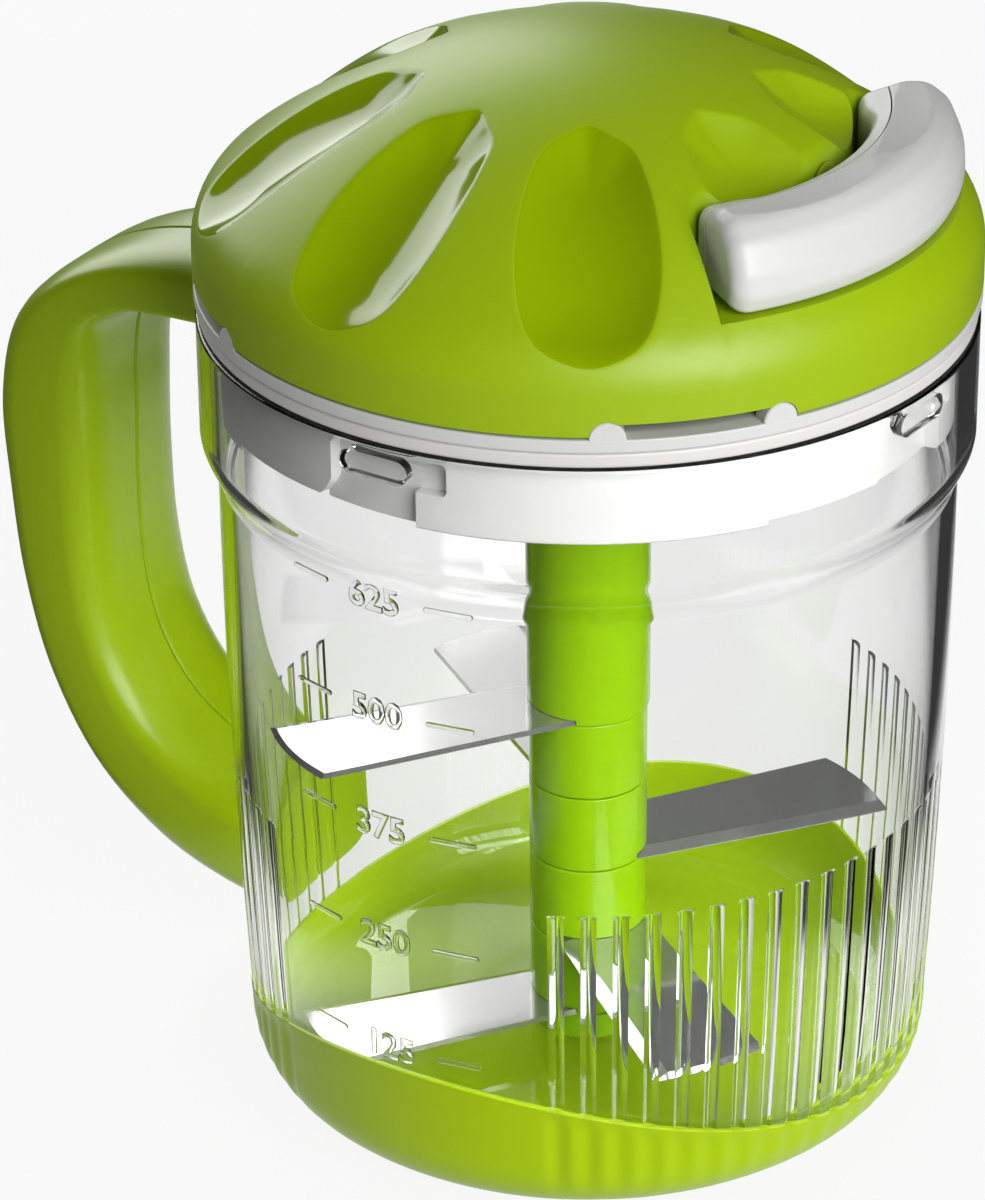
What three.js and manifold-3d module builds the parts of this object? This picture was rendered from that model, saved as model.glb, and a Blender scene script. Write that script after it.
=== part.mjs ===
// Pull-cord food chopper: a clear measuring jar with a side handle and a stack of five blades,
// under a domed lid whose cord reel spins the blades. Millimetres, +Z up.
// The origin is the middle of the base on the table, the side handle points to -X and the pull grip to +X.
import * as THREE from "three";
import { mergeVertices } from "three/addons/utils/BufferGeometryUtils.js";
import Module from "manifold-3d";

const wasm = await Module();
wasm.setup();

// Gaps: between seated pieces, between moving pieces and along the blade stack, and the cuts' overrun
const seatGap = 0.3;
const runGap = 0.5;
const stackGap = 0.12;
const overrun = 2;

// Jar
const jarHeight = 119.5;
const jarWall = 3;
const rimWall = 2.6;
const jarFloor = 2.3;
const cornerRadius = 9.4;
const shoulderRadius = 51.5;
const shoulderDrop = 23.5;
const footDraw = 2.9;
const rimRadius = 53.8;
const rimLength = 17;
const rimRound = 0.8;
const pivotRadius = 2.2;
const pivotHeight = 9;

// Bayonet lugs inside the rim
const lugCount = 4;
const lugAngle = -2.5;
const lugWidth = 9.6;
const lugHeight = 3;
const lugReach = 1.9;
const lugDrop = 4.2;

// Flutes round the lower wall: their zones run from angle to angle round the spindle, smooth panels between
const fluteTop = 51;
const fluteFoot = 9.6;
const fluteDepth = 0.8;
const fluteWidth = 2;
const flutePitch = 5;
const fluteZones = [[-65, 65], [175, 240]];
const cupFluteZones = [[-65, 240]];

// Base cup
const cupWall = 1.2;
const cupFloor = 2.4;
const cupEdgeMiddle = 15.2;
const cupEdgeWave = 6.3;
const footRingRadius = 33;
const footPadRadius = 12;
const footRecess = 0.8;

// Side handle, its half width at the middle of the section, and the tenons of the jar that hold it
const handleReach = 95;
const handleDrop = 2.2;
const handleFoot = 12.5;
const handleHalfWidth = 13.2;
const tenonLength = 7;
const tenonWidth = 9;
const tenonHeight = 5;
const tenonPlay = 0.3;
const tenonTopInset = 7;
const tenonFootInset = 11;

// Spindle and blades
const spindleRadius = 8.8;
const spacerDraft = 0.25;
const coreRadius = 2.4;
const bladeCount = 5;
const bladePitch = 12;
const bladeThickness = 0.9;
const lowestBlade = 9.6;
const bladeTipRadius = 45.6;
const lowBladeTipRadius = 43;
const bladeTipSlant = 3.4;
const bladeHubRadius = 8.4;
const bladeHubWidth = 13.6;
const bladeTipWidth = 16.2;
const bladeStep = -90;
const topBladeAngle = 232;
const spindleDrop = 27.9;
const dogNeckRadius = 5.5;
const dogNeckLength = 14;
const dogReach = 2.8;
const dogCount = 3;
const dogAngle = 24;

// Lid base with its flange, skirt and centre boss
const gasketHeight = 1.9;
const gasketInset = 0.9;
const flangeHeight = 2;
const flangeLip = 0.1;
const skirtDrop = 16.2;
const skirtPlay = 0.6;
const skirtWall = 3.4;
const slotDepth = 1.7;
const slotLead = 12.5;
const slotChannelEnd = 6.6;
const slotPocketEnd = 11;
const tabRadius = 2.4;
const tabDepth = 2.6;
const tabAngle = 12.4;
const windowCount = 4;
const windowHeight = 2.2;

// Lid dome
const domeLip = 0.1;
const domeShoulder = 5.7;
const domeHeadroom = 10.4;
const domeFillet = 10.4;
const domeWall = 5.2;
const domeRimWall = 2.8;
const scoopCount = 9;
const scoopTilt = 32.5;
const scoopHalfLength = 19;
const scoopHalfWidth = 9.5;
const scoopDepth = 2.5;
const scoopEdge = 0.3;
const postRadius = 4;
const postInset = 12;
const postHeight = 17;

// Notch that the pull grip sits in, and the grip
const notchDepth = 18.4;
const notchFloor = 13.4;
const notchWall = 2.2;
const notchHalfAngle = 40.5;
const gripClearance = 1.1;
const gripFloorGap = 0.5;
const gripHalfAngle = 38.4;
const gripInnerThickness = 3.9;
const gripOuterThickness = 9.8;
const gripHeight = 11.4;
const gripRound = 1.6;
const gripRelief = 1.1;
const gripReliefAngle = 28;

// Pull cord and its eyelet
const cordRadius = 1;
const cordHeight = 20.2;
const eyeletBore = 1.6;
const eyeletRadius = 2.5;
const eyeletLip = 0.6;
const knotRadius = 2.4;
const knotLength = 3.4;

// Drive in the lid: axle, hub with ratchet, bush, reel, spring and pawls
const axleRadius = 2.5;
const axleHead = 4.4;
const axleHeadThickness = 1.5;
const hubRadius = 11;
const hubSocketWall = 1.8;
const hubSocketDepth = 15.5;
const hubWeb = 3;
const hubDrop = 29;
const bushWall = 1.7;
const bushLipHeight = 1;
const bossWall = 2.2;
const bossDrop = 17;
const ratchetRadius = 13.6;
const ratchetDepth = 1.8;
const ratchetHeight = 3.5;
const ratchetTeeth = 12;
const pawlPivotRadius = 19;
const pawlEye = 2.4;
const pawlPin = 1.2;
const pawlThickness = 2.6;
const pawlAngle = 30;
const carrierRadius = 22;
const carrierHeight = 1.4;
const reelRadius = 20;
const reelCoreRadius = 13;
const reelWall = 1.5;
const springHeight = 5.8;
const springTurns = 4;
const springThickness = 0.7;
const channelHeight = 6.5;
const boardPlay = 0.6;
const centreBossRadius = 6;

// Screws
const screwCount = 3;
const screwRadius = 1.5;
const screwHead = 2.9;
const screwHeadHeight = 1.8;
const screwLength = 12;

// Facets
const roundSteps = 48;
const smallSteps = 24;

// Heights that follow from the sizes above
const jarBottom = cupFloor + seatGap;
const jarInside = jarBottom + jarFloor;
const gasketFoot = jarHeight + seatGap;
const flangeFoot = gasketFoot + gasketHeight + seatGap;
const lidPlane = flangeFoot + flangeHeight;
const domeFoot = lidPlane + seatGap;
const skirtRadius = rimRadius - rimWall - skirtPlay;
const gasketRadius = rimRadius - gasketInset;
const flangeRadius = rimRadius + flangeLip;
const domeRadius = flangeRadius + domeLip;
const notchRadius = domeRadius - notchDepth;
const postCircle = domeRadius - postInset;
const lugMiddle = jarHeight - lugDrop;
const shoulderHeight = jarHeight - shoulderDrop;
const rimStart = jarHeight - rimLength;
const handleTop = jarHeight - handleDrop;
const spindleShoulder = jarHeight - spindleDrop;
const spindleTip = spindleShoulder + dogNeckLength;
const deg = THREE.MathUtils.degToRad;

// Levels of the drive, upwards from the lid base
const ratchetFoot = lidPlane + bushLipHeight + seatGap;
const ratchetTop = ratchetFoot + ratchetHeight;
const carrierFoot = ratchetTop + runGap;
const reelFoot = carrierFoot + carrierHeight + seatGap;
const springRoom = springHeight + 2 * runGap;
const channelFoot = reelFoot + springRoom + reelWall;
const reelTop = channelFoot + channelHeight + reelWall;
const axleTop = reelTop + runGap + axleRadius;
const hubFoot = lidPlane - hubDrop;
const socketTop = hubFoot + hubSocketDepth;

// The cap of the dome clears the reel and meets the round of the dome's edge smoothly
const domeTop = reelTop + domeHeadroom;
const filletReach = domeRadius - domeFillet;
const capRise = domeTop - lidPlane - domeShoulder;
const capRadius = (filletReach ** 2 + capRise ** 2 - domeFillet ** 2) / (2 * (capRise - domeFillet));
const capCentre = domeTop - capRadius;
const filletRise = capRadius - capRise;
const capEnd = Math.atan2(filletRise, filletReach);

// A closed geometry with every corner shared by the faces round it
function welded(geometry) {
  if (!geometry.attributes.normal) return geometry;
  const bare = geometry.clone();
  bare.deleteAttribute("normal");
  bare.deleteAttribute("uv");
  const merged = mergeVertices(bare, 1e-4);
  const whole = [];
  const corners = merged.index.array;
  for (let i = 0; i < corners.length; i += 3) {
    const [a, b, c] = corners.subarray(i, i + 3);
    if (a !== b && b !== c && c !== a) whole.push(a, b, c);
  }
  return merged.setIndex(whole);
}

// The same as a solid that can be joined and cut
function toSolid(geometry) {
  const { attributes, index } = welded(geometry);
  const vertProperties = new Float32Array(attributes.position.array);
  const triVerts = new Uint32Array(index.array);
  return new wasm.Manifold(new wasm.Mesh({ numProp: 3, vertProperties, triVerts }));
}

function toGeometry(solid) {
  const mesh = solid.getMesh();
  const geometry = new THREE.BufferGeometry();
  geometry.setAttribute("position", new THREE.BufferAttribute(new Float32Array(mesh.vertProperties), 3));
  geometry.setIndex(new THREE.BufferAttribute(new Uint32Array(mesh.triVerts), 1));
  return geometry;
}

const join = (first, ...others) => {
  const whole = others.reduce((solid, other) => solid.add(toSolid(other)), toSolid(first));
  return toGeometry(whole);
};
const cut = (first, ...tools) => {
  const rest = tools.reduce((solid, tool) => solid.subtract(toSolid(tool)), toSolid(first));
  return toGeometry(rest);
};
const common = (a, b) => toGeometry(toSolid(a).intersect(toSolid(b)));

// Points [radius, height], counter-clockwise with the radius to the right, turned round the Z axis
function revolve(points, steps = roundSteps) {
  const outline = points.map(([r, z]) => new THREE.Vector2(r, z));
  return new THREE.LatheGeometry(outline, steps).rotateX(Math.PI / 2);
}

// A closed ring outline turned round the Z axis
const revolveRing = (points, steps = roundSteps) => revolve([...points, points[0]], steps);

function cylinder(radius, from, to, steps = smallSteps) {
  return revolve([[0, from], [radius, from], [radius, to], [0, to]], steps);
}

function tube(inner, outer, from, to, steps = smallSteps) {
  return revolveRing([[inner, from], [outer, from], [outer, to], [inner, to]], steps);
}

// A round bar along +X
function barAlongX(radius, from, to, height, steps = smallSteps) {
  return cylinder(radius, from, to, steps).rotateY(Math.PI / 2).translate(0, 0, height);
}

// A solid through equal rings of points, with flat ends
function loft(rings) {
  const points = rings.flat();
  const size = rings[0].length;
  const faces = [];
  for (let i = 0; i + 1 < rings.length; i++) {
    for (let j = 0; j < size; j++) {
      const a = i * size + j;
      const b = i * size + ((j + 1) % size);
      faces.push(a, b, a + size, b, b + size, a + size);
    }
  }
  const last = points.length - size;
  for (let j = 1; j + 1 < size; j++) {
    faces.push(0, j + 1, j, last, last + j, last + j + 1);
  }
  const geometry = new THREE.BufferGeometry().setFromPoints(points);
  geometry.setIndex(faces);
  return geometry;
}

// A block between two radii and two angles
function sector(inner, outer, fromAngle, toAngle, from, to, steps = 12) {
  const shape = new THREE.Shape();
  shape.absarc(0, 0, outer, deg(fromAngle), deg(toAngle), false);
  shape.absarc(0, 0, inner, deg(toAngle), deg(fromAngle), true);
  const options = { depth: to - from, bevelEnabled: false, curveSegments: steps };
  return new THREE.ExtrudeGeometry(shape, options).translate(0, 0, from);
}

const turned = (geometry, angle) => geometry.clone().rotateZ(deg(angle));
const around = (count, make) => Array.from({ length: count }, (_, i) => make((360 / count) * i, i));

// Outer radius of the jar body: drawn in towards the foot, and flaring from the shoulder to the rim band
function bodyRadius(z) {
  if (z <= shoulderHeight) {
    return shoulderRadius - footDraw * ((shoulderHeight - z) / shoulderHeight) ** 2;
  }
  const rise = THREE.MathUtils.smoothstep(z, shoulderHeight, rimStart);
  return THREE.MathUtils.lerp(shoulderRadius, rimRadius, rise);
}

// The body's outline inset by a wall, from the axis at its floor to a given height
function bodyOutline(inset, floor, top, rimInset = inset) {
  const round = cornerRadius - inset;
  const wall = bodyRadius(cornerRadius) - inset;
  const outline = [[0, floor]];
  const steps = 3;
  for (let i = 0; i <= steps; i++) {
    const a = (Math.PI / 2) * (i / steps);
    outline.push([wall - round + round * Math.sin(a), floor + round - round * Math.cos(a)]);
  }
  const wallShares = [0.5, 1];
  const start = floor + round;
  for (const share of wallShares) {
    const z = THREE.MathUtils.lerp(start, shoulderHeight, share);
    if (z < top) outline.push([bodyRadius(z) - inset, z]);
  }
  const shoulderShares = [0.35, 0.65, 1];
  for (const share of shoulderShares) {
    const z = THREE.MathUtils.lerp(shoulderHeight, rimStart, share);
    const wallHere = THREE.MathUtils.lerp(inset, rimInset, share);
    if (z < top) outline.push([bodyRadius(z) - wallHere, z]);
  }
  const endInset = top > rimStart ? rimInset : inset;
  outline.push([bodyRadius(top) - endInset, top]);
  return outline;
}

const bodyEnvelope = (inset, floor, top) => revolve([...bodyOutline(inset, floor, top), [0, top]]);

// Everything under the wavy upper edge of the base cup, which is highest at the smooth panels
function underCupEdge(rise, radius) {
  const rings = [];
  const steps = roundSteps;
  for (let i = 0; i < steps; i++) {
    const a = (2 * Math.PI * i) / steps;
    const edge = cupEdgeMiddle - cupEdgeWave * Math.cos(2 * a) + rise;
    const [x, y] = [radius * Math.cos(a), radius * Math.sin(a)];
    rings.push([new THREE.Vector3(x, y, -overrun), new THREE.Vector3(x, y, edge)]);
  }
  const ends = [-overrun, cupEdgeMiddle + rise].map((z) => new THREE.Vector3(0, 0, z));
  const points = [...rings.flat(), ...ends];
  const [bottom, top] = [points.length - 2, points.length - 1];
  const faces = [];
  for (let i = 0; i < steps; i++) {
    const [a, b] = [2 * i, 2 * ((i + 1) % steps)];
    faces.push(a, b, b + 1, a, b + 1, a + 1, bottom, b, a, top, a + 1, b + 1);
  }
  const geometry = new THREE.BufferGeometry().setFromPoints(points);
  geometry.setIndex(faces);
  return geometry;
}

// One V-shaped flute that follows the wall
function flute() {
  const heightShares = [0, 1];
  const rings = heightShares.map((share) => {
    const z = THREE.MathUtils.lerp(fluteFoot, fluteTop, share);
    const root = bodyRadius(z) - fluteDepth;
    const reach = fluteDepth + overrun;
    const half = (fluteWidth / 2) * (reach / fluteDepth);
    return [
      new THREE.Vector3(root, 0, z),
      new THREE.Vector3(root + reach, -half, z),
      new THREE.Vector3(root + reach, half, z),
    ];
  });
  return loft(rings);
}

function flutes(zones) {
  const tools = [];
  for (const [first, last] of zones) {
    for (let angle = first; angle <= last; angle += flutePitch) tools.push(turned(flute(), angle));
  }
  return tools;
}

// Where the tenons for the side handle stand, at the rim band and low on the wall
const tenonHeights = [handleTop - tenonTopInset, handleFoot + tenonFootInset];

function tenon(height, play) {
  const root = bodyRadius(height);
  const length = tenonLength + rimWall / 2;
  const box = new THREE.BoxGeometry(length + play, tenonWidth + 2 * play, tenonHeight + 2 * play);
  return box.translate(-(root - rimWall / 2 + (length + play) / 2), 0, height);
}

function lug() {
  const inner = rimRadius - rimWall - lugReach;
  const shape = new THREE.Shape();
  const half = lugWidth / 2 - lugHeight / 2;
  shape.absarc(half, 0, lugHeight / 2, -Math.PI / 2, Math.PI / 2, false);
  shape.absarc(-half, 0, lugHeight / 2, Math.PI / 2, (3 * Math.PI) / 2, false);
  const options = { depth: lugReach + rimWall / 2, bevelEnabled: false, curveSegments: 5 };
  const pill = new THREE.ExtrudeGeometry(shape, options);
  return pill.rotateX(Math.PI / 2).rotateZ(Math.PI / 2).translate(inner, 0, lugMiddle);
}

function jarBowl() {
  const outside = bodyOutline(0, 0, jarHeight - rimRound);
  const inside = bodyOutline(jarWall, jarInside, jarHeight, rimWall).reverse();
  const rim = [[rimRadius - rimRound, jarHeight]];
  const full = revolve([...outside, ...rim, ...inside]);
  const seat = bodyEnvelope(cupWall + seatGap, jarBottom, rimStart);
  const rebate = cut(underCupEdge(seatGap, rimRadius + overrun), seat);
  const fluted = cut(full, ...flutes(fluteZones));
  const lugs = around(lugCount, (angle) => turned(lug(), angle + lugAngle));
  const pivot = cylinder(pivotRadius, jarInside - jarFloor / 2, jarInside + pivotHeight);
  const tenons = tenonHeights.map((height) => tenon(height, 0));
  return cut(join(fluted, pivot, ...lugs, ...tenons), rebate);
}

function baseCup() {
  const top = cupEdgeMiddle + cupEdgeWave + overrun;
  const outside = common(bodyEnvelope(0, 0, top), underCupEdge(0, rimRadius + overrun));
  const inside = bodyEnvelope(cupWall, cupFloor, top + overrun);
  const recess = tube(footPadRadius, footRingRadius, -overrun, footRecess);
  return cut(outside, inside, recess, ...flutes(cupFluteZones));
}

// Pairs of points on the outer and inner side of the handle's loop, as shares of its reach and of its height
const loopShares = [
  [0.48, 1, 0.48, 0.892],
  [0.66, 0.992, 0.66, 0.892],
  [0.775, 0.968, 0.735, 0.885],
  [0.875, 0.92, 0.785, 0.855],
  [0.955, 0.845, 0.802, 0.79],
  [0.992, 0.73, 0.806, 0.7],
  [0.985, 0.585, 0.81, 0.585],
  [0.965, 0.435, 0.805, 0.46],
  [0.92, 0.29, 0.78, 0.355],
  [0.835, 0.155, 0.722, 0.27],
  [0.71, 0.06, 0.64, 0.215],
  [0.58, 0.015, 0.565, 0.185],
  [0.47, 0, 0.47, 0.17],
];

// Stations along the loop: middle, direction across it and half thickness
function handleStations(count) {
  const height = handleTop - handleFoot;
  const place = ([r, z]) => new THREE.Vector3(-r * handleReach, 0, handleFoot + z * height);
  const outer = new THREE.CatmullRomCurve3(loopShares.map((s) => place([s[0], s[1]])));
  const inner = new THREE.CatmullRomCurve3(loopShares.map((s) => place([s[2], s[3]])));
  return Array.from({ length: count }, (_, i) => {
    const [a, b] = [outer.getPoint(i / (count - 1)), inner.getPoint(i / (count - 1))];
    const across = a.clone().sub(b);
    const middle = a.clone().add(b).multiplyScalar(0.5);
    return { middle, half: across.length() / 2, across: across.normalize() };
  });
}

// One half of the handle, split along the mid plane: side is 1 towards +Y and -1 towards -Y
function handleHalf(side) {
  const squareness = 2.7;
  const rings = handleStations(25).map(({ middle, half, across }) => {
    const ring = [];
    for (let j = 0; j <= 7; j++) {
      const a = Math.PI * (j / 7) - Math.PI / 2;
      const wide = handleHalfWidth * Math.max(Math.cos(a), 0) ** (2 / squareness) + seatGap / 2;
      const deep = half * Math.sign(Math.sin(a)) * Math.abs(Math.sin(a)) ** (2 / squareness);
      ring.push(middle.clone().addScaledVector(across, deep).add(new THREE.Vector3(0, side * wide, 0)));
    }
    return side > 0 ? ring.reverse() : ring;
  });
  const jar = bodyEnvelope(-seatGap, -overrun, jarHeight + overrun);
  return cut(loft(rings), jar, ...tenonHeights.map((height) => tenon(height, tenonPlay)));
}

// Blade stack, counted from the top
const bladeHeight = (index) => lowestBlade + (bladeCount - 1 - index) * bladePitch;

function blade(index) {
  const tip = index === bladeCount - 1 ? lowBladeTipRadius : bladeTipRadius;
  const lead = -bladeTipWidth / 2;
  const trail = bladeTipWidth / 2;
  const leadReach = Math.sqrt(tip ** 2 - lead ** 2);
  const hub = Math.sqrt(bladeHubRadius ** 2 - (bladeHubWidth / 2) ** 2);
  const shape = new THREE.Shape();
  shape.moveTo(hub, -bladeHubWidth / 2);
  shape.lineTo(leadReach, lead);
  shape.quadraticCurveTo(leadReach + bladeTipSlant / 4, trail / 3, leadReach - bladeTipSlant, trail);
  shape.lineTo(hub, bladeHubWidth / 2);
  const start = Math.atan2(bladeHubWidth / 2, hub);
  shape.absarc(0, 0, bladeHubRadius, start, 2 * Math.PI - start, false);
  const hole = new THREE.Path().absarc(0, 0, coreRadius + seatGap, 0, 2 * Math.PI, true);
  shape.holes.push(hole);
  const options = { depth: bladeThickness, bevelEnabled: false, curveSegments: 8 };
  const plate = new THREE.ExtrudeGeometry(shape, options);
  plate.rotateZ(deg(topBladeAngle + bladeStep * index));
  return plate.translate(0, 0, bladeHeight(index));
}

// Spacer under blade number index, down to the next one
function spacer(index) {
  const top = bladeHeight(index) - stackGap;
  const foot = bladeHeight(index + 1) + bladeThickness + stackGap;
  const bore = coreRadius + seatGap;
  const outline = [[bore, foot], [spindleRadius - spacerDraft, foot], [spindleRadius, top], [bore, top]];
  return revolveRing(outline, smallSteps);
}

function spindleFoot() {
  const top = lowestBlade - stackGap;
  const bore = coreRadius + seatGap;
  return tube(bore, spindleRadius - spacerDraft, jarInside + runGap, top, smallSteps);
}

const coreTop = (bladeHeight(0) + spindleShoulder) / 2;

function spindleTop() {
  const foot = bladeHeight(0) + bladeThickness + stackGap;
  const round = spacerDraft * 4;
  const body = revolve([
    [0, foot],
    [spindleRadius - spacerDraft, foot],
    [spindleRadius, spindleShoulder - round],
    [spindleRadius - round, spindleShoulder],
    [dogNeckRadius, spindleShoulder],
    [dogNeckRadius, spindleTip],
    [0, spindleTip],
  ], smallSteps);
  const dogs = around(dogCount, (angle) => {
    const sides = [angle - dogAngle / 2, angle + dogAngle / 2];
    const reach = dogNeckRadius + dogReach;
    return sector(dogNeckRadius / 2, reach, ...sides, spindleShoulder - round, spindleTip, 3);
  });
  return cut(join(body, ...dogs), cylinder(coreRadius + seatGap, foot - overrun, coreTop + seatGap));
}

function spindleCore() {
  const foot = jarInside + pivotHeight + seatGap;
  return cylinder(coreRadius, foot, coreTop);
}

// Lid base: the bayonet slot starts under the open channel, where the lug stands at rest
function bayonetSlot() {
  const [inner, outer] = [skirtRadius - slotDepth, skirtRadius + overrun];
  const foot = lidPlane - skirtDrop - overrun;
  const floor = lugMiddle - lugHeight / 2 - runGap;
  const roof = lugMiddle + lugHeight / 2 + runGap;
  const channel = sector(inner, outer, -slotLead, slotChannelEnd, foot, roof, 4);
  const pocket = sector(inner, outer, -slotLead, slotPocketEnd, floor, roof, 4);
  return join(channel, pocket);
}

// Places of the half-round tabs on the flange, either side of each window in the lid's edge
const windowAngles = Array.from({ length: windowCount }, (_, i) => (360 / windowCount) * (i + 0.5));
const tabAngles = windowAngles.flatMap((angle) => [angle - tabAngle, angle + tabAngle]);

function tab(radius, depth, sink) {
  const shape = new THREE.Shape();
  shape.moveTo(-radius, -sink);
  shape.lineTo(radius, -sink);
  shape.absarc(0, 0, radius, 0, Math.PI, false);
  const options = { depth, bevelEnabled: false, curveSegments: 5 };
  const half = new THREE.ExtrudeGeometry(shape, options);
  return half.rotateX(Math.PI / 2).rotateZ(Math.PI / 2);
}

const bushInner = hubRadius + runGap;
const bossInner = bushInner + bushWall + seatGap;
const screwAngles = Array.from({ length: screwCount }, (_, i) => 90 + (360 / screwCount) * i);
const atScrew = (geometry, angle) => turned(geometry.clone().translate(postCircle, 0, 0), angle);

function lidBase() {
  const skirtFoot = lidPlane - skirtDrop;
  const skirtInner = skirtRadius - skirtWall;
  const body = revolveRing([
    [bossInner, lidPlane - bossDrop],
    [bossInner + bossWall, lidPlane - bossDrop],
    [bossInner + bossWall, flangeFoot],
    [skirtInner, flangeFoot],
    [skirtInner, skirtFoot],
    [skirtRadius, skirtFoot],
    [skirtRadius, flangeFoot],
    [flangeRadius, flangeFoot],
    [flangeRadius, lidPlane],
    [bossInner, lidPlane],
  ]);
  const slots = around(lugCount, (angle) => turned(bayonetSlot(), angle + lugAngle));
  const tabs = tabAngles.map((angle) =>
    turned(tab(tabRadius, tabDepth, flangeHeight / 2).translate(flangeRadius - tabDepth, 0, lidPlane),
      angle));
  const hole = cylinder(screwRadius + seatGap, flangeFoot - overrun, lidPlane + overrun, 16);
  return cut(join(body, ...tabs), ...slots, ...screwAngles.map((angle) => atScrew(hole, angle)));
}

function lidGasket() {
  return tube(skirtRadius + seatGap, gasketRadius, gasketFoot, gasketFoot + gasketHeight, roundSteps);
}

function lidScrew(angle) {
  const seat = flangeFoot - seatGap;
  const tip = lidPlane + screwLength;
  const screw = revolve([
    [0, seat - screwHeadHeight],
    [screwHead * 0.8, seat - screwHeadHeight],
    [screwHead, seat - screwHeadHeight / 2],
    [screwHead, seat],
    [screwRadius, seat],
    [screwRadius, tip - screwRadius],
    [0, tip],
  ], 16);
  return atScrew(screw, angle);
}

// Dome outline: a shallow cap that a fillet joins to the short upright rim

function domeOutside() {
  const outline = [[domeRadius, domeFoot]];
  for (let i = 0; i <= 4; i++) {
    const a = capEnd * (i / 4);
    outline.push([filletReach + domeFillet * Math.cos(a), capCentre + filletRise + domeFillet * Math.sin(a)]);
  }
  const steps = 6;
  for (let i = 1; i <= steps; i++) {
    const a = THREE.MathUtils.lerp(capEnd, Math.PI / 2, i / steps);
    outline.push([i === steps ? 0 : capRadius * Math.cos(a), capCentre + capRadius * Math.sin(a)]);
  }
  return outline;
}

function domeInside() {
  const radius = capRadius - domeWall;
  const rim = domeRadius - domeRimWall;
  const end = Math.acos(rim / radius);
  const outline = [];
  const steps = 4;
  for (let i = 0; i <= steps; i++) {
    const a = THREE.MathUtils.lerp(Math.PI / 2, end, i / steps);
    outline.push([i === 0 ? 0 : radius * Math.cos(a), capCentre + radius * Math.sin(a)]);
  }
  outline.push([rim, domeFoot]);
  return outline;
}

// A place on the dome's outline, at a distance along it from the top, and the direction out of it
function domePlace(distance) {
  const capLength = capRadius * (Math.PI / 2 - capEnd);
  const onCap = distance < capLength;
  const a = onCap ? Math.PI / 2 - distance / capRadius : capEnd - (distance - capLength) / domeFillet;
  const out = new THREE.Vector2(Math.cos(a), Math.sin(a));
  const filletMiddle = new THREE.Vector2(filletReach, capCentre + filletRise);
  const centre = onCap ? new THREE.Vector2(0, capCentre) : filletMiddle;
  return { place: centre.addScaledVector(out, onCap ? capRadius : domeFillet), out };
}

// Places along a scoop from the top down and its half widths there, as shares of its half length and width
const scoopShares = [
  [-0.99, 0.12],
  [-0.75, 0.6],
  [-0.47, 0.81],
  [-0.14, 0.95],
  [0.25, 1],
  [0.54, 0.96],
  [0.74, 0.86],
  [0.87, 0.68],
  [0.98, 0.2],
];
const acrossShares = [-1, -0.7, -0.35, 0, 0.35, 0.7, 1];

// One dished scoop, deepest along its middle line, with a crisp edge and rounded ends
function scoop() {
  const rings = scoopShares.map(([along, width]) => {
    const { place, out } = domePlace(capRadius * deg(scoopTilt) + along * scoopHalfLength);
    const point = (share, depth) => {
      const turn = (share * width * scoopHalfWidth) / place.x;
      const radius = place.x - out.x * depth;
      return new THREE.Vector3(radius * Math.cos(turn), radius * Math.sin(turn), place.y - out.y * depth);
    };
    const dish = acrossShares.map((share) => point(share, scoopEdge + scoopDepth * width * (1 - share ** 2)));
    return [point(-1, -overrun), ...dish, point(1, -overrun)];
  });
  return loft(rings);
}

function lidDome() {
  const shell = revolve([...domeInside(), ...domeOutside()]);
  const floor = lidPlane + notchFloor;
  const high = domeTop + overrun;
  const wide = domeRadius - domeRimWall / 2;
  const wallAngle = notchHalfAngle + THREE.MathUtils.radToDeg(notchWall / notchRadius);
  const backing = sector(notchRadius - notchWall, wide, -wallAngle, wallAngle, floor - notchWall, high);
  const tray = common(backing, revolve([[0, domeFoot], ...domeOutside()]));
  const post = cylinder(postRadius, domeFoot, domeFoot + postHeight, 16);
  const posts = screwAngles.map((angle) => atScrew(post, angle));
  const boss = cylinder(centreBossRadius, reelTop + runGap, domeTop - domeWall / 2);
  const notch = sector(notchRadius, domeRadius + overrun, -notchHalfAngle, notchHalfAngle, floor, high);
  const scoops = around(scoopCount, (angle) => {
    const middle = angle + 180 / scoopCount;
    const whole = turned(scoop(), middle);
    const besideNotch = Math.cos(deg(middle)) > Math.cos(deg(notchHalfAngle));
    return besideNotch ? common(whole, cylinder(domeRadius + overrun, floor + seatGap, high)) : whole;
  });
  const tabCuts = tabAngles.map((angle) => {
    const clear = tab(tabRadius + seatGap, tabDepth + overrun, overrun);
    return turned(clear.translate(flangeRadius - tabDepth - seatGap, 0, lidPlane), angle);
  });
  const windowSpan = [domeRadius - domeRimWall - overrun, domeRadius + overrun];
  const windows = windowAngles.map((angle) => {
    const sides = [angle - tabAngle, angle + tabAngle];
    return sector(...windowSpan, ...sides, domeFoot - overrun, lidPlane + windowHeight, 4);
  });
  const pilot = cylinder(screwRadius + seatGap, domeFoot - overrun, lidPlane + screwLength + seatGap, 16);
  const pilots = screwAngles.map((angle) => atScrew(pilot, angle));
  const axleHole = cylinder(axleRadius + seatGap, reelTop - overrun, axleTop + seatGap);
  const holeStart = notchRadius - notchWall - overrun;
  const holeEnd = notchRadius + overrun;
  const eyeletHole = barAlongX(eyeletRadius + seatGap, holeStart, holeEnd, lidPlane + cordHeight, 16);
  const housing = join(shell, tray, ...posts, boss);
  const holes = [...windows, ...pilots, axleHole, eyeletHole];
  return cut(housing, cordWay(cordRadius + runGap, cordRadius), notch, ...scoops, ...tabCuts, ...holes);
}

const axleBore = axleRadius + seatGap;

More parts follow.
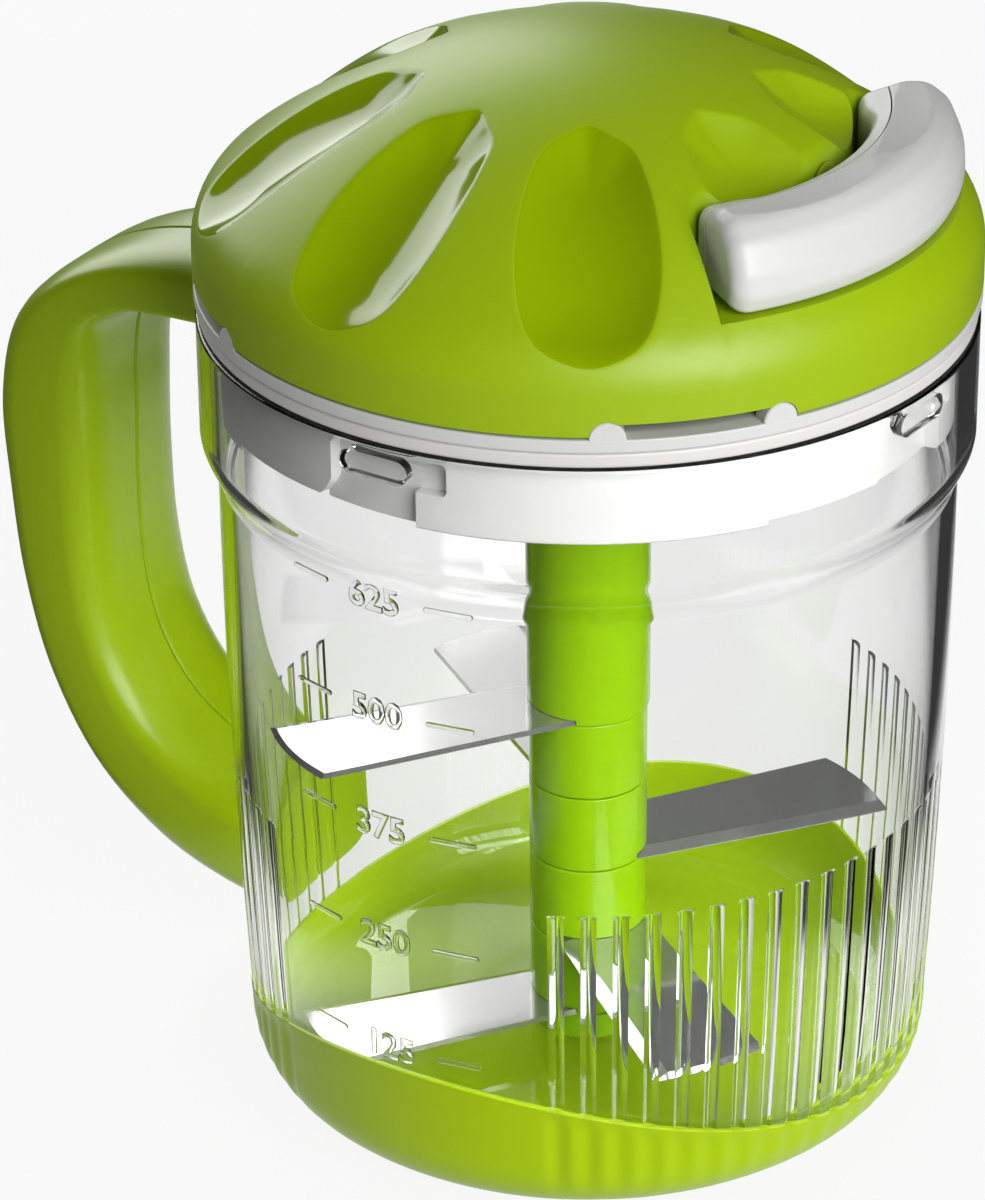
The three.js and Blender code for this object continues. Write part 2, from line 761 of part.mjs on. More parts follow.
function reelAxle() {
  const head = socketTop - runGap;
  return revolve([
    [0, head - axleHeadThickness],
    [axleHead, head - axleHeadThickness],
    [axleHead, head],
    [axleRadius, head],
    [axleRadius, axleTop],
    [0, axleTop],
  ], smallSteps);
}

// Saw-toothed ratchet wheel, its steep faces turned against the pawls
function ratchet() {
  const shape = new THREE.Shape();
  const pitch = (2 * Math.PI) / ratchetTeeth;
  for (let i = 0; i < ratchetTeeth; i++) {
    const face = i * pitch;
    const root = ratchetRadius - ratchetDepth;
    shape[i ? "lineTo" : "moveTo"](root * Math.cos(face), root * Math.sin(face));
    shape.lineTo(ratchetRadius * Math.cos(face), ratchetRadius * Math.sin(face));
  }
  const options = { depth: ratchetHeight, bevelEnabled: false };
  return new THREE.ExtrudeGeometry(shape, options).translate(0, 0, ratchetFoot);
}

function driveHub() {
  const socket = hubRadius - hubSocketWall;
  const body = revolveRing([
    [axleBore, socketTop],
    [socket, socketTop],
    [socket, hubFoot],
    [hubRadius, hubFoot],
    [hubRadius, ratchetFoot + ratchetHeight / 2],
    [axleBore, ratchetFoot + ratchetHeight / 2],
  ], smallSteps);
  const ribs = around(dogCount, (angle) => {
    const middle = angle + 180 / dogCount;
    const sides = [middle - dogAngle / 2, middle + dogAngle / 2];
    const reach = socket + hubSocketWall / 2;
    return sector(dogNeckRadius + runGap, reach, ...sides, hubFoot, socketTop + hubWeb / 2, 3);
  });
  const wheel = cut(ratchet(), cylinder(axleBore, ratchetFoot - overrun, ratchetTop + overrun));
  return join(body, wheel, ...ribs);
}

function hubBush() {
  const outer = bushInner + bushWall;
  const lip = bossInner + bossWall;
  const foot = lidPlane - bossDrop;
  return revolveRing([
    [bushInner, foot],
    [outer, foot],
    [outer, lidPlane + seatGap],
    [lip, lidPlane + seatGap],
    [lip, lidPlane + bushLipHeight],
    [bushInner, lidPlane + bushLipHeight],
  ], smallSteps);
}

function pawlCarrier() {
  const disc = tube(axleBore, carrierRadius, carrierFoot, carrierFoot + carrierHeight);
  const pin = cylinder(pawlPin, ratchetTop - pawlThickness - seatGap, carrierFoot + carrierHeight / 2, 12);
  return join(disc, ...[0, 180].map((angle) => turned(pin.clone().translate(pawlPivotRadius, 0, 0), angle)));
}

// A pawl rides on the crests of the teeth, as it does while the cord winds back
function pawl(angle) {
  const nose = deg(pawlAngle);
  const noseRadius = ratchetRadius + seatGap;
  const faceGap = seatGap / noseRadius;
  const onFace = (radius) => [radius * Math.cos(nose - faceGap), radius * Math.sin(nose - faceGap)];
  const tip = onFace(noseRadius);
  const back = onFace(noseRadius + pawlEye);
  const shape = new THREE.Shape();
  shape.moveTo(...tip);
  shape.lineTo(...back);
  shape.absarc(pawlPivotRadius, 0, pawlEye, Math.PI / 3, -Math.PI / 1.3, true);
  const hole = new THREE.Path().absarc(pawlPivotRadius, 0, pawlPin + seatGap, 0, 2 * Math.PI, false);
  shape.holes.push(hole);
  const options = { depth: pawlThickness, bevelEnabled: false, curveSegments: 8 };
  const plate = new THREE.ExtrudeGeometry(shape, options);
  return turned(plate.translate(0, 0, ratchetTop - pawlThickness), angle);
}

function cordReel() {
  const room = reelFoot + springRoom;
  return revolveRing([
    [axleBore, room],
    [reelRadius - reelWall, room],
    [reelRadius - reelWall, reelFoot],
    [reelRadius, reelFoot],
    [reelRadius, channelFoot],
    [reelCoreRadius, channelFoot],
    [reelCoreRadius, channelFoot + channelHeight],
    [reelRadius, channelFoot + channelHeight],
    [reelRadius, reelTop],
    [axleBore, reelTop],
  ], 30);
}

const woundRadius = reelRadius - 2 * cordRadius - boardPlay;

function woundCord() {
  const [foot, top] = [channelFoot + boardPlay, channelFoot + channelHeight - boardPlay];
  const inner = reelCoreRadius + seatGap;
  return revolveRing([
    [inner, foot],
    [woundRadius - cordRadius / 2, foot],
    [woundRadius, foot + cordRadius],
    [woundRadius, top - cordRadius],
    [woundRadius - cordRadius / 2, top],
    [inner, top],
  ], smallSteps);
}

// Flat recoil spring, wound in one spiral from the arbor to the drum
function recoilSpring() {
  const inner = axleRadius + seatGap;
  const outer = reelRadius - reelWall - springThickness - seatGap;
  const turnSteps = 14;
  const steps = turnSteps * springTurns;
  const foot = reelFoot + runGap;
  const rings = Array.from({ length: steps + 1 }, (_, i) => {
    const a = (2 * Math.PI * i) / turnSteps;
    const r = THREE.MathUtils.lerp(inner, outer, i / steps);
    const at = (radius, z) => new THREE.Vector3(radius * Math.cos(a), radius * Math.sin(a), z);
    const top = foot + springHeight;
    return [at(r, foot), at(r, top), at(r + springThickness, top), at(r + springThickness, foot)];
  });
  return loft(rings);
}

// The cord's way inside the lid, from the outer turn on the reel to the eyelet
function cordWay(radius, shortening) {
  const start = woundRadius + cordRadius + seatGap;
  const end = notchRadius - notchWall;
  const leave = Math.acos(start / end);
  const from = new THREE.Vector3(start * Math.cos(leave), -start * Math.sin(leave), lidPlane + cordHeight);
  const to = new THREE.Vector3(end, 0, lidPlane + cordHeight);
  const turn = Math.atan2(to.y - from.y, to.x - from.x);
  const bar = barAlongX(radius, 0, from.distanceTo(to) - shortening, 0, 10);
  return bar.rotateZ(turn).translate(from.x, from.y, from.z);
}

const cordRun = () => cordWay(cordRadius, 2 * cordRadius);

const gripInner = notchRadius + gripClearance;
const gripSeam = gripInner + gripInnerThickness;

function cordEyelet() {
  const back = notchRadius - notchWall;
  const front = gripInner - runGap;
  const sleeve = barAlongX(eyeletRadius, back, front, 0, 20);
  const lip = barAlongX(eyeletRadius + eyeletLip, notchRadius + seatGap / 2, front, 0, 20);
  const bore = barAlongX(eyeletBore, back - overrun, front + overrun, 0, 16);
  return cut(join(sleeve, lip), bore).translate(0, 0, lidPlane + cordHeight);
}

// Cord from the eyelet to the knot inside the grip
function cordLead() {
  return barAlongX(cordRadius, notchRadius - notchWall, knotFoot - seatGap, lidPlane + cordHeight, 10);
}

const gripFoot = lidPlane + notchFloor + gripFloorGap;
const gripTop = gripFoot + gripHeight;
const gripPart = () => {
  const reach = domeRadius + overrun;
  const foot = gripFoot - overrun;
  return sector(notchRadius / 2, reach, -gripHalfAngle, gripHalfAngle, foot, gripTop + overrun);
};
const knotFoot = gripSeam - knotLength / 2;
const knotRoom = () => {
  const end = knotFoot + knotLength + seatGap;
  return barAlongX(knotRadius + seatGap, knotFoot - seatGap, end, lidPlane + cordHeight, 16);
};

function gripInnerShell() {
  const ring = revolveRing([
    [gripInner + gripRound / 2, gripFoot],
    [gripSeam, gripFoot],
    [gripSeam, gripTop],
    [gripInner + gripRound, gripTop - gripRound / 3],
    [gripInner + gripRound / 3, gripTop - gripRound],
    [gripInner, gripTop - 2 * gripRound],
    [gripInner, gripFoot + gripRound / 2],
  ]);
  const cordHole = barAlongX(cordRadius + seatGap, gripInner - overrun, gripSeam, lidPlane + cordHeight, 16);
  const reliefSpan = [gripInner - overrun, gripInner + gripRelief];
  const sides = [-gripReliefAngle, gripReliefAngle];
  const relief = sector(...reliefSpan, ...sides, gripFoot - overrun, gripTop + overrun);
  return cut(common(ring, gripPart()), knotRoom(), cordHole, relief);
}

// Outer shell: its back follows the dome's curve and swells a little past it
function gripOuterShell() {
  const inner = gripSeam + seatGap;
  const outer = inner + gripOuterThickness;
  const backShares = [
    [0.9, 0],
    [1, 0.13],
    [0.99, 0.4],
    [0.93, 0.66],
    [0.8, 0.86],
    [0.58, 0.97],
    [0.3, 1.01],
  ];
  const back = backShares.map(([r, z]) => [THREE.MathUtils.lerp(inner, outer, r), gripFoot + z * gripHeight]);
  const ring = revolveRing([[inner, gripFoot], ...back, [inner, gripTop]]);
  return cut(common(ring, gripPart()), knotRoom());
}

function cordKnot() {
  return barAlongX(knotRadius, knotFoot, knotFoot + knotLength, lidPlane + cordHeight, 14);
}

// Materials
const plastic = (color, roughness, extra = {}) =>
  new THREE.MeshStandardMaterial({ color, roughness, metalness: 0, ...extra });
const steel = (color, roughness) => new THREE.MeshStandardMaterial({ color, roughness, metalness: 1 });
const green = plastic("#94b400", 0.4);
const brightGreen = plastic("#8ccc00", 0.35);
const white = plastic("#e6e6e2", 0.4);
const offWhite = plastic("#d8d6cf", 0.6);
const clear = plastic("#f2f5f2", 0.05, { transparent: true, opacity: 0.25 });
const grey = plastic("#8a8c8e", 0.5);
const cordWhite = plastic("#d9d9d4", 0.8);
const bladeSteel = steel("#c4c6c8", 0.25);
const partSteel = steel("#8e9092", 0.35);

const chopper = new THREE.Group();
chopper.name = "crank_food_chopper";

function add(name, geometry, material) {
  const mesh = new THREE.Mesh(welded(geometry), material);
  mesh.name = name;
  chopper.add(mesh);
}

add("jar_bowl", jarBowl(), clear);
add("base_cup", baseCup(), green);
add("handle_front_half", handleHalf(-1), green);
add("handle_rear_half", handleHalf(1), green);
add("lid_gasket", lidGasket(), grey);
add("lid_base", lidBase(), white);
add("lid_dome", lidDome(), green);
screwAngles.forEach((angle, i) => add(`lid_screw_${i + 1}`, lidScrew(angle), partSteel));
add("hub_bush", hubBush(), offWhite);
add("reel_axle", reelAxle(), partSteel);
add("cord_eyelet", cordEyelet(), green);
add("drive_hub", driveHub(), white);
add("pawl_carrier", pawlCarrier(), grey);
add("pawl_1", pawl(0), partSteel);
add("pawl_2", pawl(180), partSteel);
add("cord_reel", cordReel(), offWhite);
add("cord_wound", woundCord(), cordWhite);
add("recoil_spring", recoilSpring(), partSteel);
add("cord_run", cordRun(), cordWhite);
add("grip_inner_shell", gripInnerShell(), white);
add("grip_outer_shell", gripOuterShell(), white);
add("cord_knot", cordKnot(), cordWhite);
add("cord_lead", cordLead(), cordWhite);
add("spindle_top", spindleTop(), brightGreen);
add("spindle_core", spindleCore(), partSteel);
add("spindle_foot", spindleFoot(), brightGreen);
for (let i = 0; i < bladeCount; i++) {
  add(`blade_${i + 1}`, blade(i), bladeSteel);
}
for (let i = 0; i + 1 < bladeCount; i++) {
  add(`spacer_${i + 1}`, spacer(i), brightGreen);
}

export default chopper;
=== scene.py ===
import math

import bmesh
import bpy
from mathutils import Matrix, Vector


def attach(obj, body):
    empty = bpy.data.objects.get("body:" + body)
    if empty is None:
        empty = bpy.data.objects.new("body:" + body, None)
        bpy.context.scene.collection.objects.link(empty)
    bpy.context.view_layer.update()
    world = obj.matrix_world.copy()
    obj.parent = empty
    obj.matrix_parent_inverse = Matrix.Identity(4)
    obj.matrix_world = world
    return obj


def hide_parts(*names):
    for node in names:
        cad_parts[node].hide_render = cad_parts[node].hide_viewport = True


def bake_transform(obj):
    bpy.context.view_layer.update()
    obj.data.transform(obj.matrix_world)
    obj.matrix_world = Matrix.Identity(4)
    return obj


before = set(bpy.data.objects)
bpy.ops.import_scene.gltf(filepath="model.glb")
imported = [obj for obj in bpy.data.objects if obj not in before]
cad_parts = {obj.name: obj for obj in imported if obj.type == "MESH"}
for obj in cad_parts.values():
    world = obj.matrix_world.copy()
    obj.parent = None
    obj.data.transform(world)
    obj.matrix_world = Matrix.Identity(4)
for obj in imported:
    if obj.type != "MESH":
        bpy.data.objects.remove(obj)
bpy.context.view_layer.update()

# Sizes are in millimetres and scaled once, when a mesh is made; points nearer than a weld are joined
mm = 0.001
weld = 0.002
fineWeld = 0.0005
lidPlane = 124.0
jarTop = 119.5


# Helpers for meshes

# Scaled to metres, welded, facing outward and riding on its body.
def makeObject(name, bm, body, smoothAngle=35):
    bmesh.ops.remove_doubles(bm, verts=bm.verts, dist=weld)
    bmesh.ops.recalc_face_normals(bm, faces=bm.faces)
    bmesh.ops.scale(bm, vec=(mm, mm, mm), verts=bm.verts)
    mesh = bpy.data.meshes.new(name)
    bm.to_mesh(mesh)
    bm.free()
    piece = linkedObject(name, mesh)
    shade(piece, smoothAngle)
    if body:
        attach(piece, body)
    return piece


def linkedObject(name, data):
    made = bpy.data.objects.new(name, data)
    bpy.context.scene.collection.objects.link(made)
    return made


def shade(piece, smoothAngle):
    piece.data.polygons.foreach_set("use_smooth", [True] * len(piece.data.polygons))
    piece.data.set_sharp_from_angle(angle=math.radians(smoothAngle))


# Points from start to end round centre, the short way.
def arcPoints(centre, start, end, segments):
    a, b = Vector(start) - Vector(centre), Vector(end) - Vector(centre)
    first = math.atan2(a.y, a.x)
    sweep = math.atan2(b.y, b.x) - first
    sweep = (sweep + math.pi) % (2 * math.pi) - math.pi
    points = []
    for i in range(segments + 1):
        turn = first + sweep * i / segments
        points.append((centre[0] + a.length * math.cos(turn), centre[1] + a.length * math.sin(turn)))
    return points


# An outline of (x, y) or (x, y, radius) corners with the given ones rounded.
def rounded(corners, segments=5, closed=True):
    outline = []
    count = len(corners)
    for i, corner in enumerate(corners):
        radius = corner[2] if len(corner) > 2 else 0
        if radius == 0 or (not closed and i in (0, count - 1)):
            outline.append((corner[0], corner[1]))
            continue
        here = Vector(corner[:2])
        back = Vector(corners[i - 1][:2]) - here
        ahead = Vector(corners[(i + 1) % count][:2]) - here
        half = back.angle(ahead) / 2
        reach = min(radius / math.tan(half), 0.49 * back.length, 0.49 * ahead.length)
        radius = reach * math.tan(half)
        middle = here + (back.normalized() + ahead.normalized()).normalized() * radius / math.sin(half)
        start, end = here + back.normalized() * reach, here + ahead.normalized() * reach
        outline += arcPoints(middle, start, end, segments)
    return outline


# A bmesh of the outline (radius, height) turned round the Z axis.
def spinOutline(outline, steps, closed=True):
    bm = bmesh.new()
    verts = [bm.verts.new((r, 0, z)) for r, z in outline]
    for a, b in zip(verts, verts[1:]):
        bm.edges.new((a, b))
    if closed:
        bm.edges.new((verts[-1], verts[0]))
    bmesh.ops.spin(
        bm, geom=bm.verts[:] + bm.edges[:], cent=(0, 0, 0), axis=(0, 0, 1),
        dvec=(0, 0, 0), angle=2 * math.pi, steps=steps, use_merge=True, use_duplicate=False)
    bmesh.ops.remove_doubles(bm, verts=bm.verts, dist=fineWeld)
    return bm


# A bmesh through equal rings of points.
def loftRings(rings, capped=True, looped=False):
    bm = bmesh.new()
    rows = [[bm.verts.new(p) for p in ring] for ring in rings]
    pairs = list(zip(rows, rows[1:]))
    if looped:
        pairs.append((rows[-1], rows[0]))
    for low, high in pairs:
        for j in range(len(low)):
            k = (j + 1) % len(low)
            bm.faces.new((low[j], low[k], high[k], high[j]))
    if capped and not looped:
        bm.faces.new(list(reversed(rows[0])))
        bm.faces.new(rows[-1])
    return bm


def turnedMesh(bm, angle):
    bmesh.ops.rotate(bm, verts=bm.verts, cent=(0, 0, 0), matrix=rotation(angle))
    return bm


def rotation(angle, axis="Z"):
    return Matrix.Rotation(math.radians(angle), 3, axis)


# Several bmeshes as one.
def merged(parts):
    whole = bmesh.new()
    for part in parts:
        mesh = bpy.data.meshes.new("scratch")
        part.to_mesh(mesh)
        part.free()
        whole.from_mesh(mesh)
        bpy.data.meshes.remove(mesh)
    return whole


# Each cutter bmesh is taken out of the piece, or joined to it, in their order.
def carve(piece, cutters, operation="DIFFERENCE", smoothAngle=35):
    for i, cutter in enumerate(cutters):
        tool = makeObject(f"{piece.name}_tool{i}", cutter, None)
        modifier = piece.modifiers.new("carve", "BOOLEAN")
        modifier.operation = operation
        modifier.solver = "EXACT"
        modifier.object = tool
    bpy.context.view_layer.update()
    shown = piece.evaluated_get(bpy.context.evaluated_depsgraph_get())
    mesh = bpy.data.meshes.new_from_object(shown)
    tools = [m.object for m in piece.modifiers]
    piece.modifiers.clear()
    old = piece.data
    piece.data = mesh
    bpy.data.meshes.remove(old)
    mesh.name = piece.name
    for tool in tools:
        data = tool.data
        bpy.data.objects.remove(tool)
        bpy.data.meshes.remove(data)
    shade(piece, smoothAngle)


def polar(radius, angle, height):
    turn = math.radians(angle)
    return (radius * math.cos(turn), radius * math.sin(turn), height)


def smoothStep(low, high, value):
    t = min(max((value - low) / (high - low), 0), 1)
    return t * t * (3 - 2 * t)


# Points of a path at the given shares of its length.
def pathPoints(points, shares):
    lengths = [0]
    for a, b in zip(points, points[1:]):
        lengths.append(lengths[-1] + math.dist(a, b))
    result, j = [], 0
    for share in shares:
        want = lengths[-1] * share
        while j < len(points) - 2 and lengths[j + 1] < want:
            j += 1
        part = min(max((want - lengths[j]) / max(lengths[j + 1] - lengths[j], 1e-9), 0), 1)
        result.append(tuple(a + (b - a) * part for a, b in zip(points[j], points[j + 1])))
    return result


# The same path with a fixed number of evenly spaced points.
def resample(points, count):
    return pathPoints(points, [i / (count - 1) for i in range(count)])


def pillOutline(width, height, segments=8):
    half = width / 2 - height / 2
    right = arcPoints((half, 0), (half, -height / 2), (half + height / 2, 0), segments)
    right += arcPoints((half, 0), (half + height / 2, 0), (half, height / 2), segments)[1:]
    return right + [(-x, -y) for x, y in right]


# Flat work in (x, y, depth) laid on a round wall, x along it and depth outward.
def wrapFlat(bm, radius, angle, height):
    for vert in bm.verts:
        x, y, depth = vert.co
        turn = math.radians(angle) + x / radius
        reach = radius + depth
        vert.co = (reach * math.cos(turn), reach * math.sin(turn), height + y)
    return bm


# A point on the smooth curve through the points, t from 0 to 1.
def splinePoint(points, t):
    place = t * (len(points) - 1)
    i = min(int(place), len(points) - 2)
    w = place - i
    p1, p2 = points[i], points[i + 1]
    p0 = points[i - 1] if i else 2 * p1 - p2
    p3 = points[i + 2] if i + 2 < len(points) else 2 * p2 - p1
    d0, d1, d2 = [math.sqrt((b - a).length) for a, b in ((p0, p1), (p1, p2), (p2, p3))]
    t1 = ((p1 - p0) / d0 - (p2 - p0) / (d0 + d1) + (p2 - p1) / d1) * d1
    t2 = ((p2 - p1) / d1 - (p3 - p1) / (d1 + d2) + (p3 - p2) / d2) * d1
    return p1 + t1 * w + (3 * (p2 - p1) - 2 * t1 - t2) * w ** 2 + (2 * (p1 - p2) + t1 + t2) * w ** 3


# A block between two radii whose lower and upper heights are given at each angle.
def columnsBlock(columns, inner, outer):
    rings = []
    for angle, low, high in columns:
        corners = ((inner, low), (outer, low), (outer, high), (inner, high))
        rings.append([polar(r, angle, z) for r, z in corners])
    return loftRings(rings)


# A block with level faces between two radii and two angles.
def sectorBlock(inner, outer, low, high, first, last, steps=12):
    columns = [(first + (last - first) * i / steps, low, high) for i in range(steps + 1)]
    return columnsBlock(columns, inner, outer)


def cylinder(radius, low, high, steps):
    return spinOutline([(0, low), (radius, low), (radius, high), (0, high)], steps, False)


def barAlongX(radius, start, end, height, steps=32):
    turns = [2 * math.pi * i / steps for i in range(steps)]
    circle = [(radius * math.cos(turn), height + radius * math.sin(turn)) for turn in turns]
    return loftRings([[(x, y, z) for y, z in circle] for x in (start, end)])


# Materials

# The shader's values of each finish, then how fine and how strong its grain is
finishes = {
    "green_matte": {"color": (0.33, 0.49, 0.0), "roughness": 0.4, "scale": 2600, "strength": 0.25},
    "green_gloss": {"color": (0.27, 0.4, 0.0), "roughness": 0.1, "scale": 300, "strength": 0.02},
    "green_satin": {
        "color": (0.33, 0.49, 0.0), "roughness": 0.3, "specular": 0.45, "scale": 2600, "strength": 0.25,
    },
    # The cup's green is the dome's green made lighter: painted light for the stronger light the cup catches
    "green_cup": {
        "color": (0.41, 0.6, 0.0), "roughness": 0.35, "specular": 0.3, "scale": 2600, "strength": 0.25,
    },
    "spindle_green": {
        "color": (0.26, 0.5, 0.0), "roughness": 0.2, "specular": 0.4, "scale": 120, "strength": 0.04,
    },
    "white_plastic": {
        "color": (0.67, 0.67, 0.66), "roughness": 0.36, "specular": 0.45, "scale": 900, "strength": 0.05,
    },
    "seal_plastic": {"color": (0.72, 0.69, 0.67), "roughness": 0.45, "scale": 700, "strength": 0.1},
    "acetal": {"color": (0.62, 0.6, 0.55), "roughness": 0.5, "scale": 700, "strength": 0.1},
    "hardware_steel": {
        "color": (0.5, 0.5, 0.51), "roughness": 0.35, "metallic": 1.0, "scale": 500, "strength": 0.1,
    },
    "cord_fabric": {
        "color": (0.7, 0.7, 0.66), "roughness": 0.85, "scale": 1500, "strength": 0.6, "depth": 0.0002,
    },
    "blade_steel": {
        "color": (0.55, 0.55, 0.55), "roughness": 0.11, "metallic": 0.8, "scale": 900, "strength": 0.05,
        "depth": 0.00003, "detail": 3.0, "stretch": (0.08, 1, 1),
    },
    "floor_matte": {"color": (0.62, 0.62, 0.62), "roughness": 0.9, "scale": 40, "strength": 0.02},
}
clear = {"tint": (0.997, 0.998, 0.995), "roughness": 0.0, "ior": 1.49, "lightPass": 0.94}


# A finish with a fine bump all over, in the piece's own coordinates; turn is the angle of its grain.
def newMaterial(finish, name=None, turn=0.0):
    values = finishes[finish]
    material = bpy.data.materials.new(name or finish)
    material.use_nodes = True
    nodes, links = material.node_tree.nodes, material.node_tree.links
    shader = nodes["Principled BSDF"]
    shader.inputs["Base Color"].default_value = (*values["color"], 1)
    shader.inputs["Roughness"].default_value = values["roughness"]
    shader.inputs["Metallic"].default_value = values.get("metallic", 0.0)
    shader.inputs["Specular IOR Level"].default_value = values.get("specular", 0.5)
    place = nodes.new("ShaderNodeTexCoord")
    mapping = nodes.new("ShaderNodeMapping")
    mapping.inputs["Rotation"].default_value = (0, 0, turn)
    mapping.inputs["Scale"].default_value = values.get("stretch", (1, 1, 1))
    noise = nodes.new("ShaderNodeTexNoise")
    noise.inputs["Scale"].default_value = values["scale"]
    noise.inputs["Detail"].default_value = values.get("detail", 2.0)
    bump = nodes.new("ShaderNodeBump")
    bump.inputs["Strength"].default_value = values["strength"]
    bump.inputs["Distance"].default_value = values.get("depth", 0.00004)
    links.new(place.outputs["Object"], mapping.inputs["Vector"])
    links.new(mapping.outputs["Vector"], noise.inputs["Vector"])
    links.new(noise.outputs["Fac"], bump.inputs["Height"])
    links.new(bump.outputs["Normal"], shader.inputs["Normal"])
    return material


# Clear plastic that bends what is behind it and lets lamp light through.
def clearMaterial(name):
    material = bpy.data.materials.new(name)
    material.use_nodes = True
    nodes, links = material.node_tree.nodes, material.node_tree.links
    shader = nodes["Principled BSDF"]
    shader.inputs["Base Color"].default_value = (*clear["tint"], 1)
    shader.inputs["Roughness"].default_value = clear["roughness"]
    shader.inputs["Transmission Weight"].default_value = 1.0
    shader.inputs["IOR"].default_value = clear["ior"]
    path = nodes.new("ShaderNodeLightPath")
    through = nodes.new("ShaderNodeBsdfTransparent")
    through.inputs["Color"].default_value = (clear["lightPass"], clear["lightPass"], clear["lightPass"], 1)
    mix = nodes.new("ShaderNodeMixShader")
    links.new(path.outputs["Is Shadow Ray"], mix.inputs["Fac"])
    links.new(shader.outputs["BSDF"], mix.inputs[1])
    links.new(through.outputs["BSDF"], mix.inputs[2])
    links.new(mix.outputs["Shader"], nodes["Material Output"].inputs["Surface"])
    return material


greenMatte = newMaterial("green_matte")
greenGloss = newMaterial("green_gloss")
greenSatin = newMaterial("green_satin")
greenCupLit = newMaterial("green_cup")
spindleGreen = newMaterial("spindle_green")
whitePlastic = newMaterial("white_plastic")
sealPlastic = newMaterial("seal_plastic")
acetal = newMaterial("acetal")
hardware = newMaterial("hardware_steel")
cordFabric = newMaterial("cord_fabric")
clearPlastic = clearMaterial("clear_plastic")


def dress(piece, material):
    piece.data.materials.clear()
    piece.data.materials.append(material)


# What the solids are finished in that no new piece replaces
nodeFinishes = {
    "lid_screw_1": hardware, "lid_screw_2": hardware, "lid_screw_3": hardware, "hub_bush": acetal,
    "reel_axle": hardware, "drive_hub": whitePlastic, "pawl_carrier": acetal, "pawl_1": hardware,
    "pawl_2": hardware, "cord_reel": acetal, "cord_wound": cordFabric, "recoil_spring": hardware,
    "cord_run": cordFabric, "cord_knot": cordFabric, "spindle_core": hardware,
}
for nodeName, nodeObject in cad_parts.items():
    nodeObject.data.materials.clear()
    nodeObject.data.materials.append(nodeFinishes.get(nodeName, whitePlastic))
print("materials done")


# Jar body outlines, shared by the jar, the cup and the handle

body = {
    "corner": 9.4, "shoulderRadius": 51.5, "shoulder": 96, "draw": 2.9, "rimRadius": 53.8, "rimStart": 102.5,
    "cornerSteps": 8, "shoulderSteps": 10,
}


# How far out the wall stands at a height, drawn in towards the foot and wider at the rim.
def bodyRadius(z):
    if z <= body["shoulder"]:
        return body["shoulderRadius"] - body["draw"] * ((body["shoulder"] - z) / body["shoulder"]) ** 2
    share = smoothStep(body["shoulder"], body["rimStart"], z)
    return body["shoulderRadius"] + (body["rimRadius"] - body["shoulderRadius"]) * share


# From the axis at the floor, out round the corner and up the wall.
def bodyOutline(inset, floor, top, rimInset=None, rows=16):
    rimInset = inset if rimInset is None else rimInset
    corner = body["corner"] - inset
    wall = bodyRadius(body["corner"]) - inset
    outline = [(0, floor)]
    for i in range(body["cornerSteps"] + 1):
        turn = math.pi / 2 * i / body["cornerSteps"]
        outline.append((wall - corner + corner * math.sin(turn), floor + corner - corner * math.cos(turn)))
    start = floor + corner
    for i in range(1, rows + 1):
        z = start + (body["shoulder"] - start) * i / rows
        if z < top:
            outline.append((bodyRadius(z) - inset, z))
    for i in range(1, body["shoulderSteps"] + 1):
        share = i / body["shoulderSteps"]
        z = body["shoulder"] + (body["rimStart"] - body["shoulder"]) * share
        if z < top:
            outline.append((bodyRadius(z) - inset - (rimInset - inset) * share, z))
    return outline


# Flutes: narrow round-bottomed grooves in the jar's wall, left off its smooth panels

flutes = {
    "pitch": 5, "top": 51.5, "depth": 0.6, "half": 1.25, "end": 0.45, "columns": 12,
    "zones": [(-65, 65), (175, 240)],
    "endRows": [-2, -1, -0.5, -0.35, -0.15, 0, 0.15],
}
columnAngles = [
    flutes["pitch"] * i / flutes["columns"] for i in range(360 // flutes["pitch"] * flutes["columns"])]


# How far the wall stands back at a place on it.
def fluteDepth(angle, z):
    centre = round(angle / flutes["pitch"]) * flutes["pitch"]
    across = abs(angle - centre) / flutes["half"]
    inZone = any(low <= centre + turn <= high for low, high in flutes["zones"] for turn in (-360, 0))
    if across >= 1 or not inZone:
        return 0
    top = flutes["top"]
    return flutes["depth"] * (1 - across ** 2) * (1 - smoothStep(top - flutes["end"], top, z))


# Clear jar with its rim, lugs, flutes and moulded measuring marks

jar = {
    "floor": 5.0, "bottom": 2.35, "wall": 2.2, "rimWall": 2.6, "rimRound": 0.4, "rimRun": 0.4,
    "rimLip": (0.5, 0.6), "cupSeat": 1.15, "cupMiddle": 15.2, "cupWave": 6.3, "cupOverlap": 0.35,
    "seatGap": 0.2,
    "seatRows": 14, "fluteRows": 10, "plainRows": 5, "insideRows": 8, "fineRows": 40,
}
lugs = {
    "count": 4, "angle": -2.5, "width": 10.4, "height": 3.5, "reach": 1.9, "drop": 4.1,
    "taper": (0.93, 0.82), "edge": 0.45, "sink": 0.03,
}


# The height of the cup's edge, a plain wave round the jar.
def cupEdge(angle):
    return jar["cupMiddle"] - jar["cupWave"] * math.cos(2 * math.radians(angle))


# A closed shell from an outer and an inner column of (radius, height) at each angle, both from the axis up.
def gridSolid(outer, inner):
    rings = []
    for angle in columnAngles:
        column = outer(angle) + list(reversed(inner(angle)))
        rings.append([polar(r, angle, z) for r, z in column])
    bm = loftRings(rings, capped=False, looped=True)
    bmesh.ops.remove_doubles(bm, verts=bm.verts, dist=fineWeld)
    bmesh.ops.dissolve_degenerate(bm, dist=fineWeld, edges=bm.edges)
    return bm


